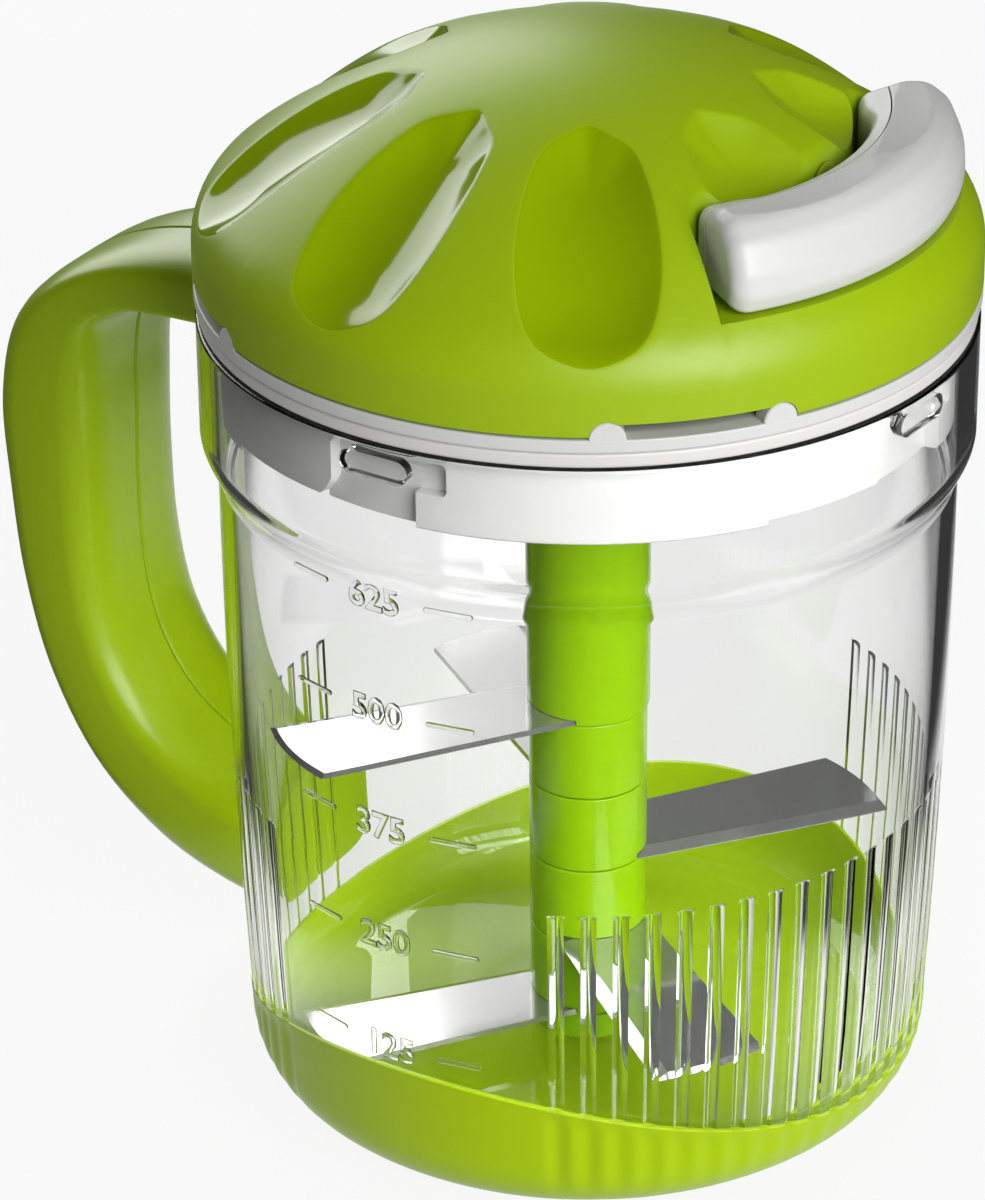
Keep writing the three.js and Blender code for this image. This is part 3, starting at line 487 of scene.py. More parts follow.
def jarInside():
    rim = body["rimRadius"] - jar["rimWall"]
    lip = jarTop - jar["rimLip"][1]
    line = bodyOutline(jar["wall"], jar["floor"], lip, jar["rimWall"], jar["insideRows"])
    line += [(rim, body["rimStart"] + jar["rimRun"]), (rim, lip - jar["rimRun"]), (rim, lip)]
    return line + [(rim + jar["rimLip"][0], jarTop)]


# The part in the cup is thinner by the cup's wall and meets it, then the wall comes out to its full radius.
def jarOutside(angle):
    top, rim, rounding = flutes["top"], body["rimRadius"], jar["rimRound"]
    shoulder, rimStart = body["shoulder"], body["rimStart"]
    edge = cupEdge(angle) - jar["cupOverlap"]
    seat = bodyOutline(jar["cupSeat"], jar["bottom"], top, None, jar["fineRows"])
    seat = [(r, z) for r, z in seat if z < edge - jar["seatGap"]]
    seat.append((bodyRadius(edge) - jar["cupSeat"], edge))
    ends = [top + step for step in flutes["endRows"]]
    heights = [edge + (ends[0] - edge) * i / jar["fluteRows"] for i in range(jar["fluteRows"])] + ends
    rows = jar["plainRows"]
    heights += [ends[-1] + (shoulder - ends[-1]) * i / rows for i in range(1, rows + 1)]
    steps = body["shoulderSteps"]
    heights += [shoulder + (rimStart - shoulder) * i / steps for i in range(1, steps + 1)]
    column = resample(seat, jar["seatRows"]) + [(bodyRadius(z) - fluteDepth(angle, z), z) for z in heights]
    straight = jarTop - rounding
    column += [(rim, rimStart + jar["rimRun"]), (rim, straight - jar["rimRun"]), (rim, straight)]
    return column + arcPoints((rim - rounding, straight), (rim, straight), (rim - rounding, jarTop), 4)[1:]


def buildJar():
    inside = jarInside()
    piece = makeObject("jar_clear", gridSolid(jarOutside, lambda angle: inside), "jar", 40)
    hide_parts("jar_bowl")
    dress(piece, clearPlastic)


def buildLugs():
    reach = lugs["reach"]
    outline = pillOutline(lugs["width"], lugs["height"])
    soft = [(x * lugs["taper"][0], y * lugs["taper"][1], -reach) for x, y in outline]
    edge = [(x, y, -reach + lugs["edge"]) for x, y in outline]
    root = [(x, y, -lugs["sink"]) for x, y in outline]
    inner = body["rimRadius"] - jar["rimWall"]
    for i in range(lugs["count"]):
        bm = wrapFlat(loftRings([soft, edge, root]), inner, lugs["angle"] + 90 * i, jarTop - lugs["drop"])
        dress(makeObject(f"jar_lug_{i + 1}", bm, "jar", 40), clearPlastic)


marks = {
    "heights": {"125": 25.2, "250": 43.1, "375": 61.0, "500": 78.8, "625": 96.0},
    "dashes": [(-109.4, -102.0), (-84.8, -77.0)],
    "digitAngle": -93.3, "size": 5.5, "drop": 0.36, "bold": 0.09, "edge": 0.08, "relief": 0.2, "sink": 0.12,
    "line": 0.8, "lineSide": 0.4, "lineTaper": (0.99, 0.6), "weld": 0.001,
}


def buildMarks():
    parts = []
    taper, relief = marks["lineTaper"], marks["relief"]
    for value, height in marks["heights"].items():
        radius = bodyRadius(height)
        for low, high in marks["dashes"]:
            outline = pillOutline(math.radians(high - low) * radius, marks["line"], 4)
            depths = (-marks["sink"], relief * marks["lineSide"])
            rings = [[(x, y, depth) for x, y in outline] for depth in depths]
            rings.append([(x * taper[0], y * taper[1], relief) for x, y in outline])
            parts.append(wrapFlat(loftRings(rings), radius, (low + high) / 2, height))
        foot = height - marks["size"] * marks["drop"]
        parts.append(wrapFlat(digits(value), radius, marks["digitAngle"], foot))
    piece = makeObject("measuring_marks", merged(parts), "jar", 40)
    dress(piece, clearPlastic)


# Raised plain numerals as a bmesh, centred on x, their backs sunk a little into the wall.
def digits(value):
    curve = bpy.data.curves.new("digits", "FONT")
    curve.body = value
    curve.size = marks["size"]
    curve.align_x = "CENTER"
    curve.offset = marks["bold"]
    curve.bevel_depth = marks["edge"]
    curve.bevel_resolution = 1
    curve.extrude = (marks["relief"] + marks["sink"]) / 2 - curve.bevel_depth
    curve.resolution_u = 3
    scratch = linkedObject("digits", curve)
    bpy.context.view_layer.update()
    mesh = bpy.data.meshes.new_from_object(scratch.evaluated_get(bpy.context.evaluated_depsgraph_get()))
    bm = bmesh.new()
    bm.from_mesh(mesh)
    bmesh.ops.remove_doubles(bm, verts=bm.verts, dist=marks["weld"])
    bmesh.ops.translate(bm, verts=bm.verts, vec=(0, 0, (marks["relief"] - marks["sink"]) / 2))
    bpy.data.objects.remove(scratch)
    bpy.data.curves.remove(curve)
    bpy.data.meshes.remove(mesh)
    return bm


buildJar()
buildLugs()
buildMarks()
print("jar done")


# Base cup round the jar's foot, softly ribbed but for a smooth panel, its edge a plain wave

cup = {
    "wall": 1.2, "floor": 2.4, "foot": 33, "pad": 12, "recess": 0.8, "slope": 0.8, "ribDepth": 0.42,
    "fade": (2, 10), "proud": 0.08, "smoothEdge": 2.5, "lip": 0.25, "smoothPanel": (242.5, 292.5),
    "insideGap": 0.3, "rows": 28, "insideRows": 14,
}


def cupOutside(angle):
    edge, foot, recess = cupEdge(angle), cup["foot"], cup["recess"]
    pad, slope = cup["pad"], cup["slope"]
    base = [(0, 0), (pad, 0), (pad + slope, recess), (foot - slope, recess), (foot, 0)]
    line = bodyOutline(0, 0, flutes["top"], None, jar["fineRows"])
    line = [(r, z) for r, z in line if r > foot and z < edge - 2 * cup["lip"]]
    line.append((bodyRadius(edge), edge - cup["lip"]))
    smooth = cup["smoothPanel"][0] < angle < cup["smoothPanel"][1]
    depth = 0 if smooth else cup["ribDepth"] * (0.5 + 0.5 * math.cos(2 * math.pi * angle / flutes["pitch"]))
    shaped = []
    for r, z in base + resample(line, cup["rows"]):
        rib = depth * (1 - smoothStep(edge - cup["smoothEdge"], edge, z))
        shaped.append((r + (cup["proud"] - rib) * smoothStep(*cup["fade"], z), z))
    return shaped + [(shaped[-1][0] - cup["lip"], edge)]


def cupInside(angle):
    edge = cupEdge(angle)
    wall = bodyOutline(cup["wall"], cup["floor"], flutes["top"], None, jar["fineRows"])
    wall = [(r, z) for r, z in wall if z < edge - cup["insideGap"]]
    wall.append((bodyRadius(edge) - cup["wall"], edge))
    return resample(wall, cup["insideRows"])


def buildCup():
    piece = makeObject("cup_green", gridSolid(cupOutside, cupInside), "jar", 40)
    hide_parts("base_cup")
    dress(piece, greenCupLit)


buildCup()
print("cup done")


# Side handle in two halves

handle = {
    "reach": 95, "top": 117.3, "foot": 12.5, "half": 13.2, "square": 3.3, "split": 0.15, "bulge": 0.3,
    "seamInset": 0.35, "stations": 70, "sides": 14, "jarGap": 0.3, "cutFrom": -1, "cutTo": 125,
}
# Outer and inner points of the loop from the rim down to the foot, as shares of its reach and height
handleLoop = [
    (0.48, 1, 0.48, 0.892), (0.66, 0.992, 0.66, 0.892), (0.775, 0.968, 0.735, 0.885),
    (0.875, 0.92, 0.785, 0.855), (0.955, 0.845, 0.802, 0.79), (0.992, 0.73, 0.806, 0.7),
    (0.985, 0.585, 0.81, 0.585), (0.965, 0.435, 0.805, 0.46), (0.92, 0.29, 0.78, 0.355),
    (0.835, 0.155, 0.722, 0.27), (0.71, 0.06, 0.64, 0.215), (0.58, 0.015, 0.565, 0.185),
    (0.47, 0, 0.47, 0.17),
]


# One half of the handle, cut off where it meets the jar; side is -1 for the front one.
def handleHalf(side):
    height = handle["top"] - handle["foot"]

    def place(r, z):
        return Vector((-r * handle["reach"], 0, handle["foot"] + z * height))

    outer = [place(s[0], s[1]) for s in handleLoop]
    inner = [place(s[2], s[3]) for s in handleLoop]
    rings = []
    for i in range(handle["stations"] + 1):
        a, b = splinePoint(outer, i / handle["stations"]), splinePoint(inner, i / handle["stations"])
        middle, across, half = (a + b) / 2, (a - b).normalized(), (a - b).length / 2
        power, split = 2 / handle["square"], Vector((0, side * handle["split"], 0))
        ring = [middle - across * (half - handle["seamInset"]) + split]
        for j in range(handle["sides"] + 1):
            turn = math.pi * j / handle["sides"] - math.pi / 2
            wide = handle["half"] * max(math.cos(turn), 0) ** power + handle["split"] + handle["bulge"]
            wide = min(wide, handle["half"] + handle["split"])
            deep = half * math.copysign(abs(math.sin(turn)) ** power, math.sin(turn))
            ring.append(middle + across * deep + Vector((0, side * wide, 0)))
        ring.append(middle + across * (half - handle["seamInset"]) + split)
        rings.append(ring)
    name = "handle_shell_rear" if side > 0 else "handle_shell_front"
    piece = makeObject(name, loftRings(rings), "jar", 40)
    gap, top = handle["jarGap"], handle["cutTo"]
    outline = bodyOutline(-gap, handle["cutFrom"], top) + [(body["rimRadius"] + gap, top), (0, top)]
    carve(piece, [spinOutline(outline, 180, False)], smoothAngle=40)
    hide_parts("handle_rear_half" if side > 0 else "handle_front_half")
    dress(piece, greenSatin)


handleHalf(-1)
handleHalf(1)
print("handle done")


# Lid base: flange, skirt with bayonet channels, half-round tabs, middle boss

lidBase = {
    "flangeFoot": 122.0, "flangeRadius": 53.95, "skirtRadius": 50.6, "skirtWall": 3.4, "skirtFoot": 107.8,
    "bossInner": 13.5, "bossOuter": 15.7, "bossFoot": 107.0, "tabRadius": 2.45, "tabAngle": 12.4,
    "tabDepth": 2.6, "tabSink": 1, "tabEdge": 0.2, "tabTaper": 0.93,
    "screwRadius": 1.8, "screwCircle": 42, "screwAngles": (90, 210, 330), "screwHole": (120, 126),
    "stepFrom": -30.5, "stepRun": 2, "stepInner": 44, "stepOuter": 52, "stepHeight": 1,
}
# Angles from the lug: the ramp beside a channel, its open mouth and the pocket that the lug locks in
channel = {
    "depth": 1.7, "floor": 113.1, "roof": 117.6, "soft": 0.6, "ramp": -12, "rampSpan": 4, "rampFoot": 108.2,
    "rampRise": 3.4, "side": -7.99, "mouth": -7.4, "mouthSpan": 14.2, "pocket": 6.81, "pocketSpan": 4.4,
    "pocketEnd": 11.7, "proud": 0.8,
}
windows = {
    "angles": [45, 135, 225, 315], "inner": 48, "outer": 56, "foot": 120, "top": 126.2,
    "tabGap": 0.15, "tabDepth": 6, "tabSink": 3,
}
seal = {"inner": 50.9, "outer": 53.5, "foot": 119.8, "top": 121.9, "round": 0.5}


def channelBlock(middle):
    low, floor, roof, soft = lidBase["skirtFoot"] - 1, channel["floor"], channel["roof"], channel["soft"]
    ramp, mouth, pocket = [middle + channel[key] for key in ("ramp", "mouth", "pocket")]
    columns = []
    for i in range(5):
        height = channel["rampFoot"] + channel["rampRise"] * (i / 4) ** 2
        columns.append((ramp + channel["rampSpan"] * i / 4, low, height))
    columns.append((middle + channel["side"], low, roof - soft))
    columns += [(mouth + channel["mouthSpan"] * i / 10, low, roof) for i in range(11)]
    columns += [(pocket + channel["pocketSpan"] * i / 3, floor, roof) for i in range(4)]
    columns.append((middle + channel["pocketEnd"], floor + soft, roof - soft))
    radius = lidBase["skirtRadius"]
    return columnsBlock(columns, radius - channel["depth"], radius + channel["proud"])


# Takes a stretch of the skirt's foot away beside a channel.
def stepBlock(middle):
    low, high = [lidBase["skirtFoot"] + side * lidBase["stepHeight"] for side in (-1, 1)]
    columns = [(middle + lidBase["stepFrom"] + lidBase["stepRun"] * i, low, high) for i in range(11)]
    return columnsBlock(columns, lidBase["stepInner"], lidBase["stepOuter"])


# A half-round tab standing on the lid's plane, its face at the outer radius.
def tabBlock(angle, radius, outer, back, sink):
    outline = [(-radius, -sink), (radius, -sink)] + arcPoints((0, 0), (radius, 0), (0, radius), 10)
    outline += arcPoints((0, 0), (0, radius), (-radius, 0), 10)[1:]
    taper = lidBase["tabTaper"]
    soft = [(x * taper, y * taper if y > 0 else y, 0) for x, y in outline]
    rings = [[(x, y, depth) for x, y in outline] for depth in (-back, -lidBase["tabEdge"])]
    return wrapFlat(loftRings(rings + [soft]), outer, angle, lidPlane)


# Tabs at both ends of every window in the dome's foot.
def windowTabs(radius, outer, back, sink):
    places = [angle + side * lidBase["tabAngle"] for angle in windows["angles"] for side in (-1, 1)]
    return merged([tabBlock(angle, radius, outer, back, sink) for angle in places])


def screwHole(angle):
    bm = cylinder(lidBase["screwRadius"], *lidBase["screwHole"], 24)
    bmesh.ops.translate(bm, verts=bm.verts, vec=polar(lidBase["screwCircle"], angle, 0))
    return bm


def buildLidBase():
    inner, outer, bossFoot = lidBase["bossInner"], lidBase["bossOuter"], lidBase["bossFoot"]
    skirt, skirtFoot, flangeFoot = lidBase["skirtRadius"], lidBase["skirtFoot"], lidBase["flangeFoot"]
    skirtInner, flange = skirt - lidBase["skirtWall"], lidBase["flangeRadius"]
    outline = rounded([
        (inner, bossFoot, 0.3), (outer, bossFoot, 0.3), (outer, flangeFoot, 1.5),
        (skirtInner, flangeFoot, 1.5), (skirtInner, skirtFoot, 0.5), (skirt, skirtFoot, 0.4),
        (skirt, flangeFoot, 0.2), (flange, flangeFoot, 0.5), (flange, lidPlane, 0.25),
        (inner, lidPlane, 0)], 4)
    piece = makeObject("lid_base_shell", spinOutline(outline, 240), "lid")
    carve(piece, [windowTabs(lidBase["tabRadius"], flange, lidBase["tabDepth"], lidBase["tabSink"])], "UNION")
    middles = [lugs["angle"] + 90 * i for i in range(lugs["count"])]
    channels, steps = [merged([block(m) for m in middles]) for block in (channelBlock, stepBlock)]
    carve(piece, [channels, steps, merged([screwHole(angle) for angle in lidBase["screwAngles"]])])
    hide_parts("lid_base")
    dress(piece, whitePlastic)


def buildSeal():
    inner, outer, foot, top, soft = seal["inner"], seal["outer"], seal["foot"], seal["top"], seal["round"]
    outline = rounded([(inner, foot, soft), (outer, foot, soft), (outer, top, soft), (inner, top, soft)], 4)
    piece = makeObject("seal_ring", spinOutline(outline, 180), "seal")
    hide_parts("lid_gasket")
    dress(piece, sealPlastic)


buildLidBase()
buildSeal()
print("lid base done")


# Dome with nine dished scoops, the notch for the pull grip and four windows in its lower edge

dome = {
    "foot": 124.3, "radius": 54.0, "rise": 33.7, "cap": 73.2, "fillet": 10.4, "wall": 5.2, "rimWall": 2.8,
    "edgeRound": 0.4, "filletSteps": 16, "capSteps": 36,
}
notch = {
    "radius": 35.6, "floor": 137.4, "half": 40.5, "wall": 2.2, "round": 3.5, "corner": 5.0, "footRound": 1.2,
    "cutRadius": 60, "cutTop": 162, "traySink": 3.6, "trayCorner": 47.6, "trayGaps": (0.2, 0.3),
    "cornerSteps": 7, "stations": 36, "footSteps": 4,
}
cord = {
    "height": 144.2, "radius": 1.0, "leadFrom": 33.45, "leadTo": 38.6, "blendFrom": 33.4, "blendTo": 38.6,
    "domeHole": (2.8, 31, 37.5), "gripHole": (1.3, 34, 40), "knotRoom": (2.7, 38.6, 42.6),
}
capMiddle = lidPlane + dome["rise"] - dome["cap"]
filletReach = dome["radius"] - dome["fillet"]
filletHeight = capMiddle + math.sqrt((dome["cap"] - dome["fillet"]) ** 2 - filletReach ** 2)
capEnd = math.atan2(filletHeight - capMiddle, filletReach)
capLength = dome["cap"] * (math.pi / 2 - capEnd)
scoops = {
    "count": 9, "tilt": 32.5, "depth": 2.9, "power": 2.2, "spine": 7.5, "soft": 0.22, "apex": 18.5,
    "topPoints": 6, "sidePoints": 36, "footPoints": 12, "topCorner": 0.1, "footCorner": 0.78,
    "notchFade": (3, 12), "edgePoints": 240,
}
# Half widths of a scoop at places along it, from its upper end down
scoopWidths = [
    (-19, 0), (-17.5, 2.3), (-14.3, 5.65), (-8.9, 7.6), (-2.6, 8.9), (4.8, 9.5), (10.2, 9.1), (14, 8.1),
    (16.4, 6.5), (18.2, 3.3), (18.9, 0),
]
# Rings round a scoop as shares of the way from its edge to its middle, negative outside it
scoopRings = [
    -0.17, -0.11, -0.07, -0.04, -0.02, 0, 0.02, 0.04, 0.07, 0.11, 0.17, 0.25, 0.35, 0.47, 0.61, 0.76, 0.9, 1,
]
borderRings = 5


# The dome's line from its foot to the axis, set in by a distance.
def domeOutline(inset):
    outline = [(dome["radius"] - inset, dome["foot"])]
    filletSteps, capSteps = dome["filletSteps"], dome["capSteps"]
    fillet, cap = dome["fillet"] - inset, dome["cap"] - inset
    for i in range(filletSteps + 1):
        turn = capEnd * i / filletSteps
        outline.append((filletReach + fillet * math.cos(turn), filletHeight + fillet * math.sin(turn)))
    for i in range(1, capSteps):
        turn = capEnd + (math.pi / 2 - capEnd) * i / capSteps
        outline.append((cap * math.cos(turn), capMiddle + cap * math.sin(turn)))
    return outline + [(0, capMiddle + cap)]


# A place on the dome's outer line at a distance along it from the top, and the way out of it there.
def domePlace(distance):
    if distance < capLength:
        middle, radius, turn = (0, capMiddle), dome["cap"], math.pi / 2 - distance / dome["cap"]
    else:
        middle, radius = (filletReach, filletHeight), dome["fillet"]
        turn = capEnd - (distance - capLength) / radius
    out = Vector((math.cos(turn), math.sin(turn)))
    return Vector(middle) + out * radius, out


# The right half of a scoop's edge as (along, across) places, from the upper end round to the lower one.
def scoopEdge():
    right = [Vector(p) for p in scoopWidths]
    before = [Vector((d, -y)) for d, y in reversed(scoopWidths[1:3])]
    after = [Vector((d, -y)) for d, y in reversed(scoopWidths[-3:-1])]
    line = before + right + after
    last, count = len(line) - 1, scoops["edgePoints"]
    fine = [splinePoint(line, (2 + (last - 4) * i / count) / last) for i in range(count + 1)]
    return pathPoints(fine, sectorShares(scoops["topCorner"], scoops["footCorner"]))


# Shares along half a sector's border: its top, its side and its foot.
def sectorShares(topEnd, footStart):
    tops, sides, feet = scoops["topPoints"], scoops["sidePoints"], scoops["footPoints"]
    shares = [topEnd * i / tops for i in range(tops)]
    shares += [topEnd + (footStart - topEnd) * i / sides for i in range(sides)]
    return shares + [footStart + (1 - footStart) * i / feet for i in range(feet + 1)]


# The dish's depth at a share of the way in, with a soft edge.
def scoopDepth(share):
    if share >= 0:
        raw = scoops["depth"] * (1 - (1 - share) ** scoops["power"])
    else:
        raw = scoops["depth"] * scoops["power"] * share
    return (raw + math.sqrt(raw ** 2 + scoops["soft"] ** 2)) / 2


# One sector of the dome's skin: rings from its border in to the middle of its scoop.
def sectorSkin(besideNotch):
    half = math.pi / scoops["count"]
    middle = dome["cap"] * math.radians(scoops["tilt"])
    top, foot = scoops["apex"], capLength + dome["fillet"] * capEnd
    tops, sides, feet = scoops["topPoints"], scoops["sidePoints"], scoops["footPoints"]
    border = [(half * i / tops, top) for i in range(tops)]
    border += [(half, top + (foot - top) * i / sides) for i in range(sides)]
    border += [(half * (1 - i / feet), foot) for i in range(feet + 1)]
    edge = scoopEdge()
    spine = [(min(max(d, -scoops["spine"]), scoops["spine"]), 0) for d, _ in edge]

    def ringAt(share):
        ring = []
        for (d, y), (c, _) in zip(edge, spine):
            distance = middle + d + (c - d) * share
            ring.append((y * (1 - share) / domePlace(distance)[0].x, distance))
        return ring

    outside = ringAt(scoopRings[0])
    rings = []
    for i in range(borderRings):
        pairs = [(Vector(a), Vector(b)) for a, b in zip(border, outside)]
        rings.append(([tuple(a.lerp(b, i / borderRings)) for a, b in pairs], 0))
    rings += [(ringAt(share), scoopDepth(share)) for share in scoopRings]
    solid = []
    for ring, depth in rings:
        whole = ring + [(-turn, distance) for turn, distance in reversed(ring[1:-1])]
        row = []
        for turn, distance in whole:
            place, out = domePlace(distance)
            sink = depth * (1 - smoothStep(*scoops["notchFade"], distance - middle)) if besideNotch else depth
            radius = place.x - out.x * sink
            row.append((radius * math.cos(turn), radius * math.sin(turn), place.y - out.y * sink))
        solid.append(row)
    bm = loftRings(solid, capped=False)
    inside = borderRings + scoopRings.index(0)
    bm.faces.ensure_lookup_table()
    for face in bm.faces[inside * len(solid[0]):]:
        face.material_index = int(not besideNotch)
    return bm


# The dome's whole shell: nine sectors, the top above them, the lower edge and the inside.
def domeShell():
    step = 360 / scoops["count"]
    beside = (0, scoops["count"] - 1)
    sectors = [turnedMesh(sectorSkin(i in beside), step * (i + 0.5)) for i in range(scoops["count"])]

    def rows(points, line):
        turns = [step * i / (2 * points) for i in range(scoops["count"] * 2 * points)]
        return loftRings([[polar(r, turn, z) for turn in turns] for r, z in line], capped=False)

    apex = [tuple(domePlace(scoops["apex"] * (1 - i / 8))[0]) for i in range(9)]
    radius, rim = dome["cap"] - dome["wall"], dome["radius"] - dome["rimWall"]
    outer, foot = dome["radius"], dome["foot"]
    soft = dome["edgeRound"]
    lower = [(outer, filletHeight), (outer, foot + 5 * soft), (outer, foot + soft)]
    lower += [(outer - 0.25 * soft, foot + 0.3 * soft), (outer - soft, foot), (rim, foot)]
    start = math.acos(rim / radius)
    for i in range(16):
        turn = start + (math.pi / 2 - start) * i / 16
        lower.append((radius * math.cos(turn), capMiddle + radius * math.sin(turn)))
    lower.append((0, capMiddle + radius))
    return merged(sectors + [rows(scoops["topPoints"], apex), rows(scoops["footPoints"], lower)])


# Stations across the notch, close together where its corners are round, with the wall's inset at each.
def notchStations():
    half, corner, radius = notch["half"], notch["corner"], notch["radius"]
    steps, count = notch["cornerSteps"], notch["stations"]
    turn = math.degrees(corner / radius)
    near = [half - turn * (1 - math.cos(math.pi / 2 * i / steps)) for i in range(steps + 1)]
    middle = [near[-1] * (1 - 2 * i / count) for i in range(1, count)]
    stations = []
    for angle in [-a for a in near] + sorted(middle) + list(reversed(near)):
        side = corner - math.radians(half - abs(angle)) * radius
        inset = corner - math.sqrt(max(corner ** 2 - side ** 2, 0)) if side > 0 else 0
        stations.append((angle, inset))
    return stations


def notchBlock():
    rings = []
    floor, top, fillet, foot = notch["floor"], notch["cutTop"], notch["round"], notch["footRound"]
    for angle, inset in notchStations():
        inner = notch["radius"] + inset
        reach = inner - fillet
        height = capMiddle + math.sqrt((dome["cap"] - fillet) ** 2 - reach ** 2)
        end = math.atan2(height - capMiddle, reach)
        turns = [end * i / 8 for i in range(9)]
        edge = [(reach + fillet * math.cos(turn), height + fillet * math.sin(turn)) for turn in turns]
        line = [(notch["cutRadius"], floor), (notch["cutRadius"], top), (edge[-1][0], top)] + edge[::-1]
        centre = (inner + foot, floor + foot)
        line += arcPoints(centre, (inner, floor + foot), (inner + foot, floor), notch["footSteps"])
        rings.append([polar(r, angle, z) for r, z in line])
    return loftRings(rings)


# Solid for the notch's floor and walls, inside the dome's skin.
def trayBlock():
    half = notch["half"] + math.degrees(notch["wall"] / notch["radius"])
    inner, low = notch["radius"] - notch["wall"], notch["floor"] - notch["wall"]
    gaps = notch["trayGaps"]
    skin = [(r, z) for r, z in domeOutline(notch["traySink"]) if r > inner + gaps[0] and z > low + gaps[1]]
    outline = [(inner, low), (notch["trayCorner"], low)] + skin + [(inner, skin[-1][1])]
    rings = [[polar(r, -half + 2 * half * i / 40, z) for r, z in outline] for i in range(41)]
    return loftRings(rings)


def buildDome():
    piece = makeObject("dome_shell", domeShell(), "lid", 32)
    piece.data.materials.append(greenMatte)
    piece.data.materials.append(greenGloss)
    carve(piece, [trayBlock()], "UNION", 32)
    inner, outer, foot, top = [windows[key] for key in ("inner", "outer", "foot", "top")]
    reach = lidBase["tabAngle"]
    spans = [(angle - reach, angle + reach) for angle in windows["angles"]]
    openings = [sectorBlock(inner, outer, foot, top, first, last) for first, last in spans]
    tabRadius = lidBase["tabRadius"] + windows["tabGap"]
    tabs = windowTabs(tabRadius, outer, windows["tabDepth"], windows["tabSink"])
    hole = barAlongX(*cord["domeHole"], cord["height"])
    carve(piece, [notchBlock(), merged(openings), tabs, hole], smoothAngle=32)
    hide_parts("lid_dome")


# Radius about the cord, place along it and rounding of each corner
eyeletSection = [
    (1.6, 33.4, 0.2), (2.5, 33.4, 0), (2.5, 35.75, 0), (3.1, 35.75, 0.2), (3.1, 36.2, 0.3), (1.6, 36.2, 0.5),
]


def buildEyelet():
    bm = spinOutline(rounded(eyeletSection, 4), 48)
    bmesh.ops.rotate(bm, verts=bm.verts, cent=(0, 0, 0), matrix=rotation(90, "Y"))
    bmesh.ops.translate(bm, verts=bm.verts, vec=(0, 0, cord["height"]))
    piece = makeObject("eyelet_ring", bm, "lid")
    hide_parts("cord_eyelet")
    dress(piece, greenGloss)


buildDome()
buildEyelet()
print("dome done")


# Pull grip: an arched block in two shells, thinner at the middle of its inner face

grip = {
    "half": 38.4, "seam": 40.75, "seamGap": 0.22, "endRound": 2.4, "meanRadius": 44, "middle": (43.8, 143.6),
    "relief": 1.5, "reliefFade": (24, 31), "reliefEdge": 0.4, "stations": 60,
    "dishAngle": 19.5, "dishLength": 9.0, "dishWidth": 5.4, "dishDepth": 0.3, "dishRise": 3.0,
    "dishTop": 149.35, "dishOut": 0.3, "cutFoot": 120, "cutTop": 170, "cutRadius": 70,
}
gripSection = [
    (36.7, 137.75, 1.2), (49.8, 137.75, 1.3), (50.9, 140.2, 3), (50.7, 143.4, 4), (49.1, 147.2, 4),
    (46.3, 149.6, 4), (43.0, 149.8, 5), (36.7, 147.9, 2.4),
]


# The whole block: its section drawn in at the rounded ends and hollowed at the middle of the inner face.
def gripBody():
    outline = rounded(gripSection, 6)
    half, endRound, mean, count = grip["half"], grip["endRound"], grip["meanRadius"], grip["stations"]
    middle, face, back = Vector(grip["middle"]), grip["seam"] - grip["reliefEdge"], gripSection[0][0]
    ends = [half - math.degrees(endRound / mean) * (1 - math.cos(math.pi / 2 * i / 8)) for i in range(9)]
    between = [half * (1 - 2 * i / count) for i in range(1, count)]
    rings = []
    for angle in ends + [a for a in between if abs(a) < ends[-1] - 0.3] + [-a for a in reversed(ends)]:
        side = endRound - math.radians(half - abs(angle)) * mean
        inset = endRound - math.sqrt(endRound ** 2 - side ** 2) if side > 0 else 0
        hollow = grip["relief"] * (1 - smoothStep(*grip["reliefFade"], abs(angle)))
        ring = []
        for r, z in outline:
            if r < face:
                r += hollow * (face - r) / (face - back)
            inward = (middle - Vector((r, z))).normalized() * inset
            ring.append(polar(r + inward.x, angle, z + inward.y))
        rings.append(ring)
    return loftRings(rings)


# A shallow thumb dish, cut by a stretched ball.
def dishBall(angle):
    rise = grip["dishRise"]
    depth = grip["dishDepth"] + rise
    spread = 1 / math.sqrt(1 - (rise / depth) ** 2)
    bm = bmesh.new()
    bmesh.ops.create_uvsphere(bm, u_segments=64, v_segments=40, radius=1)
    bmesh.ops.scale(bm, verts=bm.verts, vec=(grip["dishWidth"] * spread, grip["dishLength"] * spread, depth))
    place = (grip["seam"] + grip["dishOut"], 0, grip["dishTop"] + rise)
    bmesh.ops.translate(bm, verts=bm.verts, vec=place)
    return turnedMesh(bm, angle)


def buildGripShell(name, cutters, node):
    piece = makeObject(name, gripBody(), "grip", 32)
    carve(piece, cutters, smoothAngle=32)
    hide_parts(node)
    dress(piece, whitePlastic)


def buildGrip():
    low, high, gap = grip["cutFoot"], grip["cutTop"], grip["seamGap"] / 2
    inner, outer, far = grip["seam"] - gap, grip["seam"] + gap, grip["cutRadius"]
    core = cylinder(outer, low, high, 240)
    ring = spinOutline([(inner, low), (far, low), (far, high), (inner, high)], 240)
    dishes = merged([dishBall(grip["dishAngle"]), dishBall(-grip["dishAngle"])])
    room, hole = [barAlongX(*cord[key], cord["height"]) for key in ("knotRoom", "gripHole")]
    buildGripShell("grip_outer", [core, dishes, room.copy()], "grip_outer_shell")
    buildGripShell("grip_inner", [ring, room, hole], "grip_inner_shell")


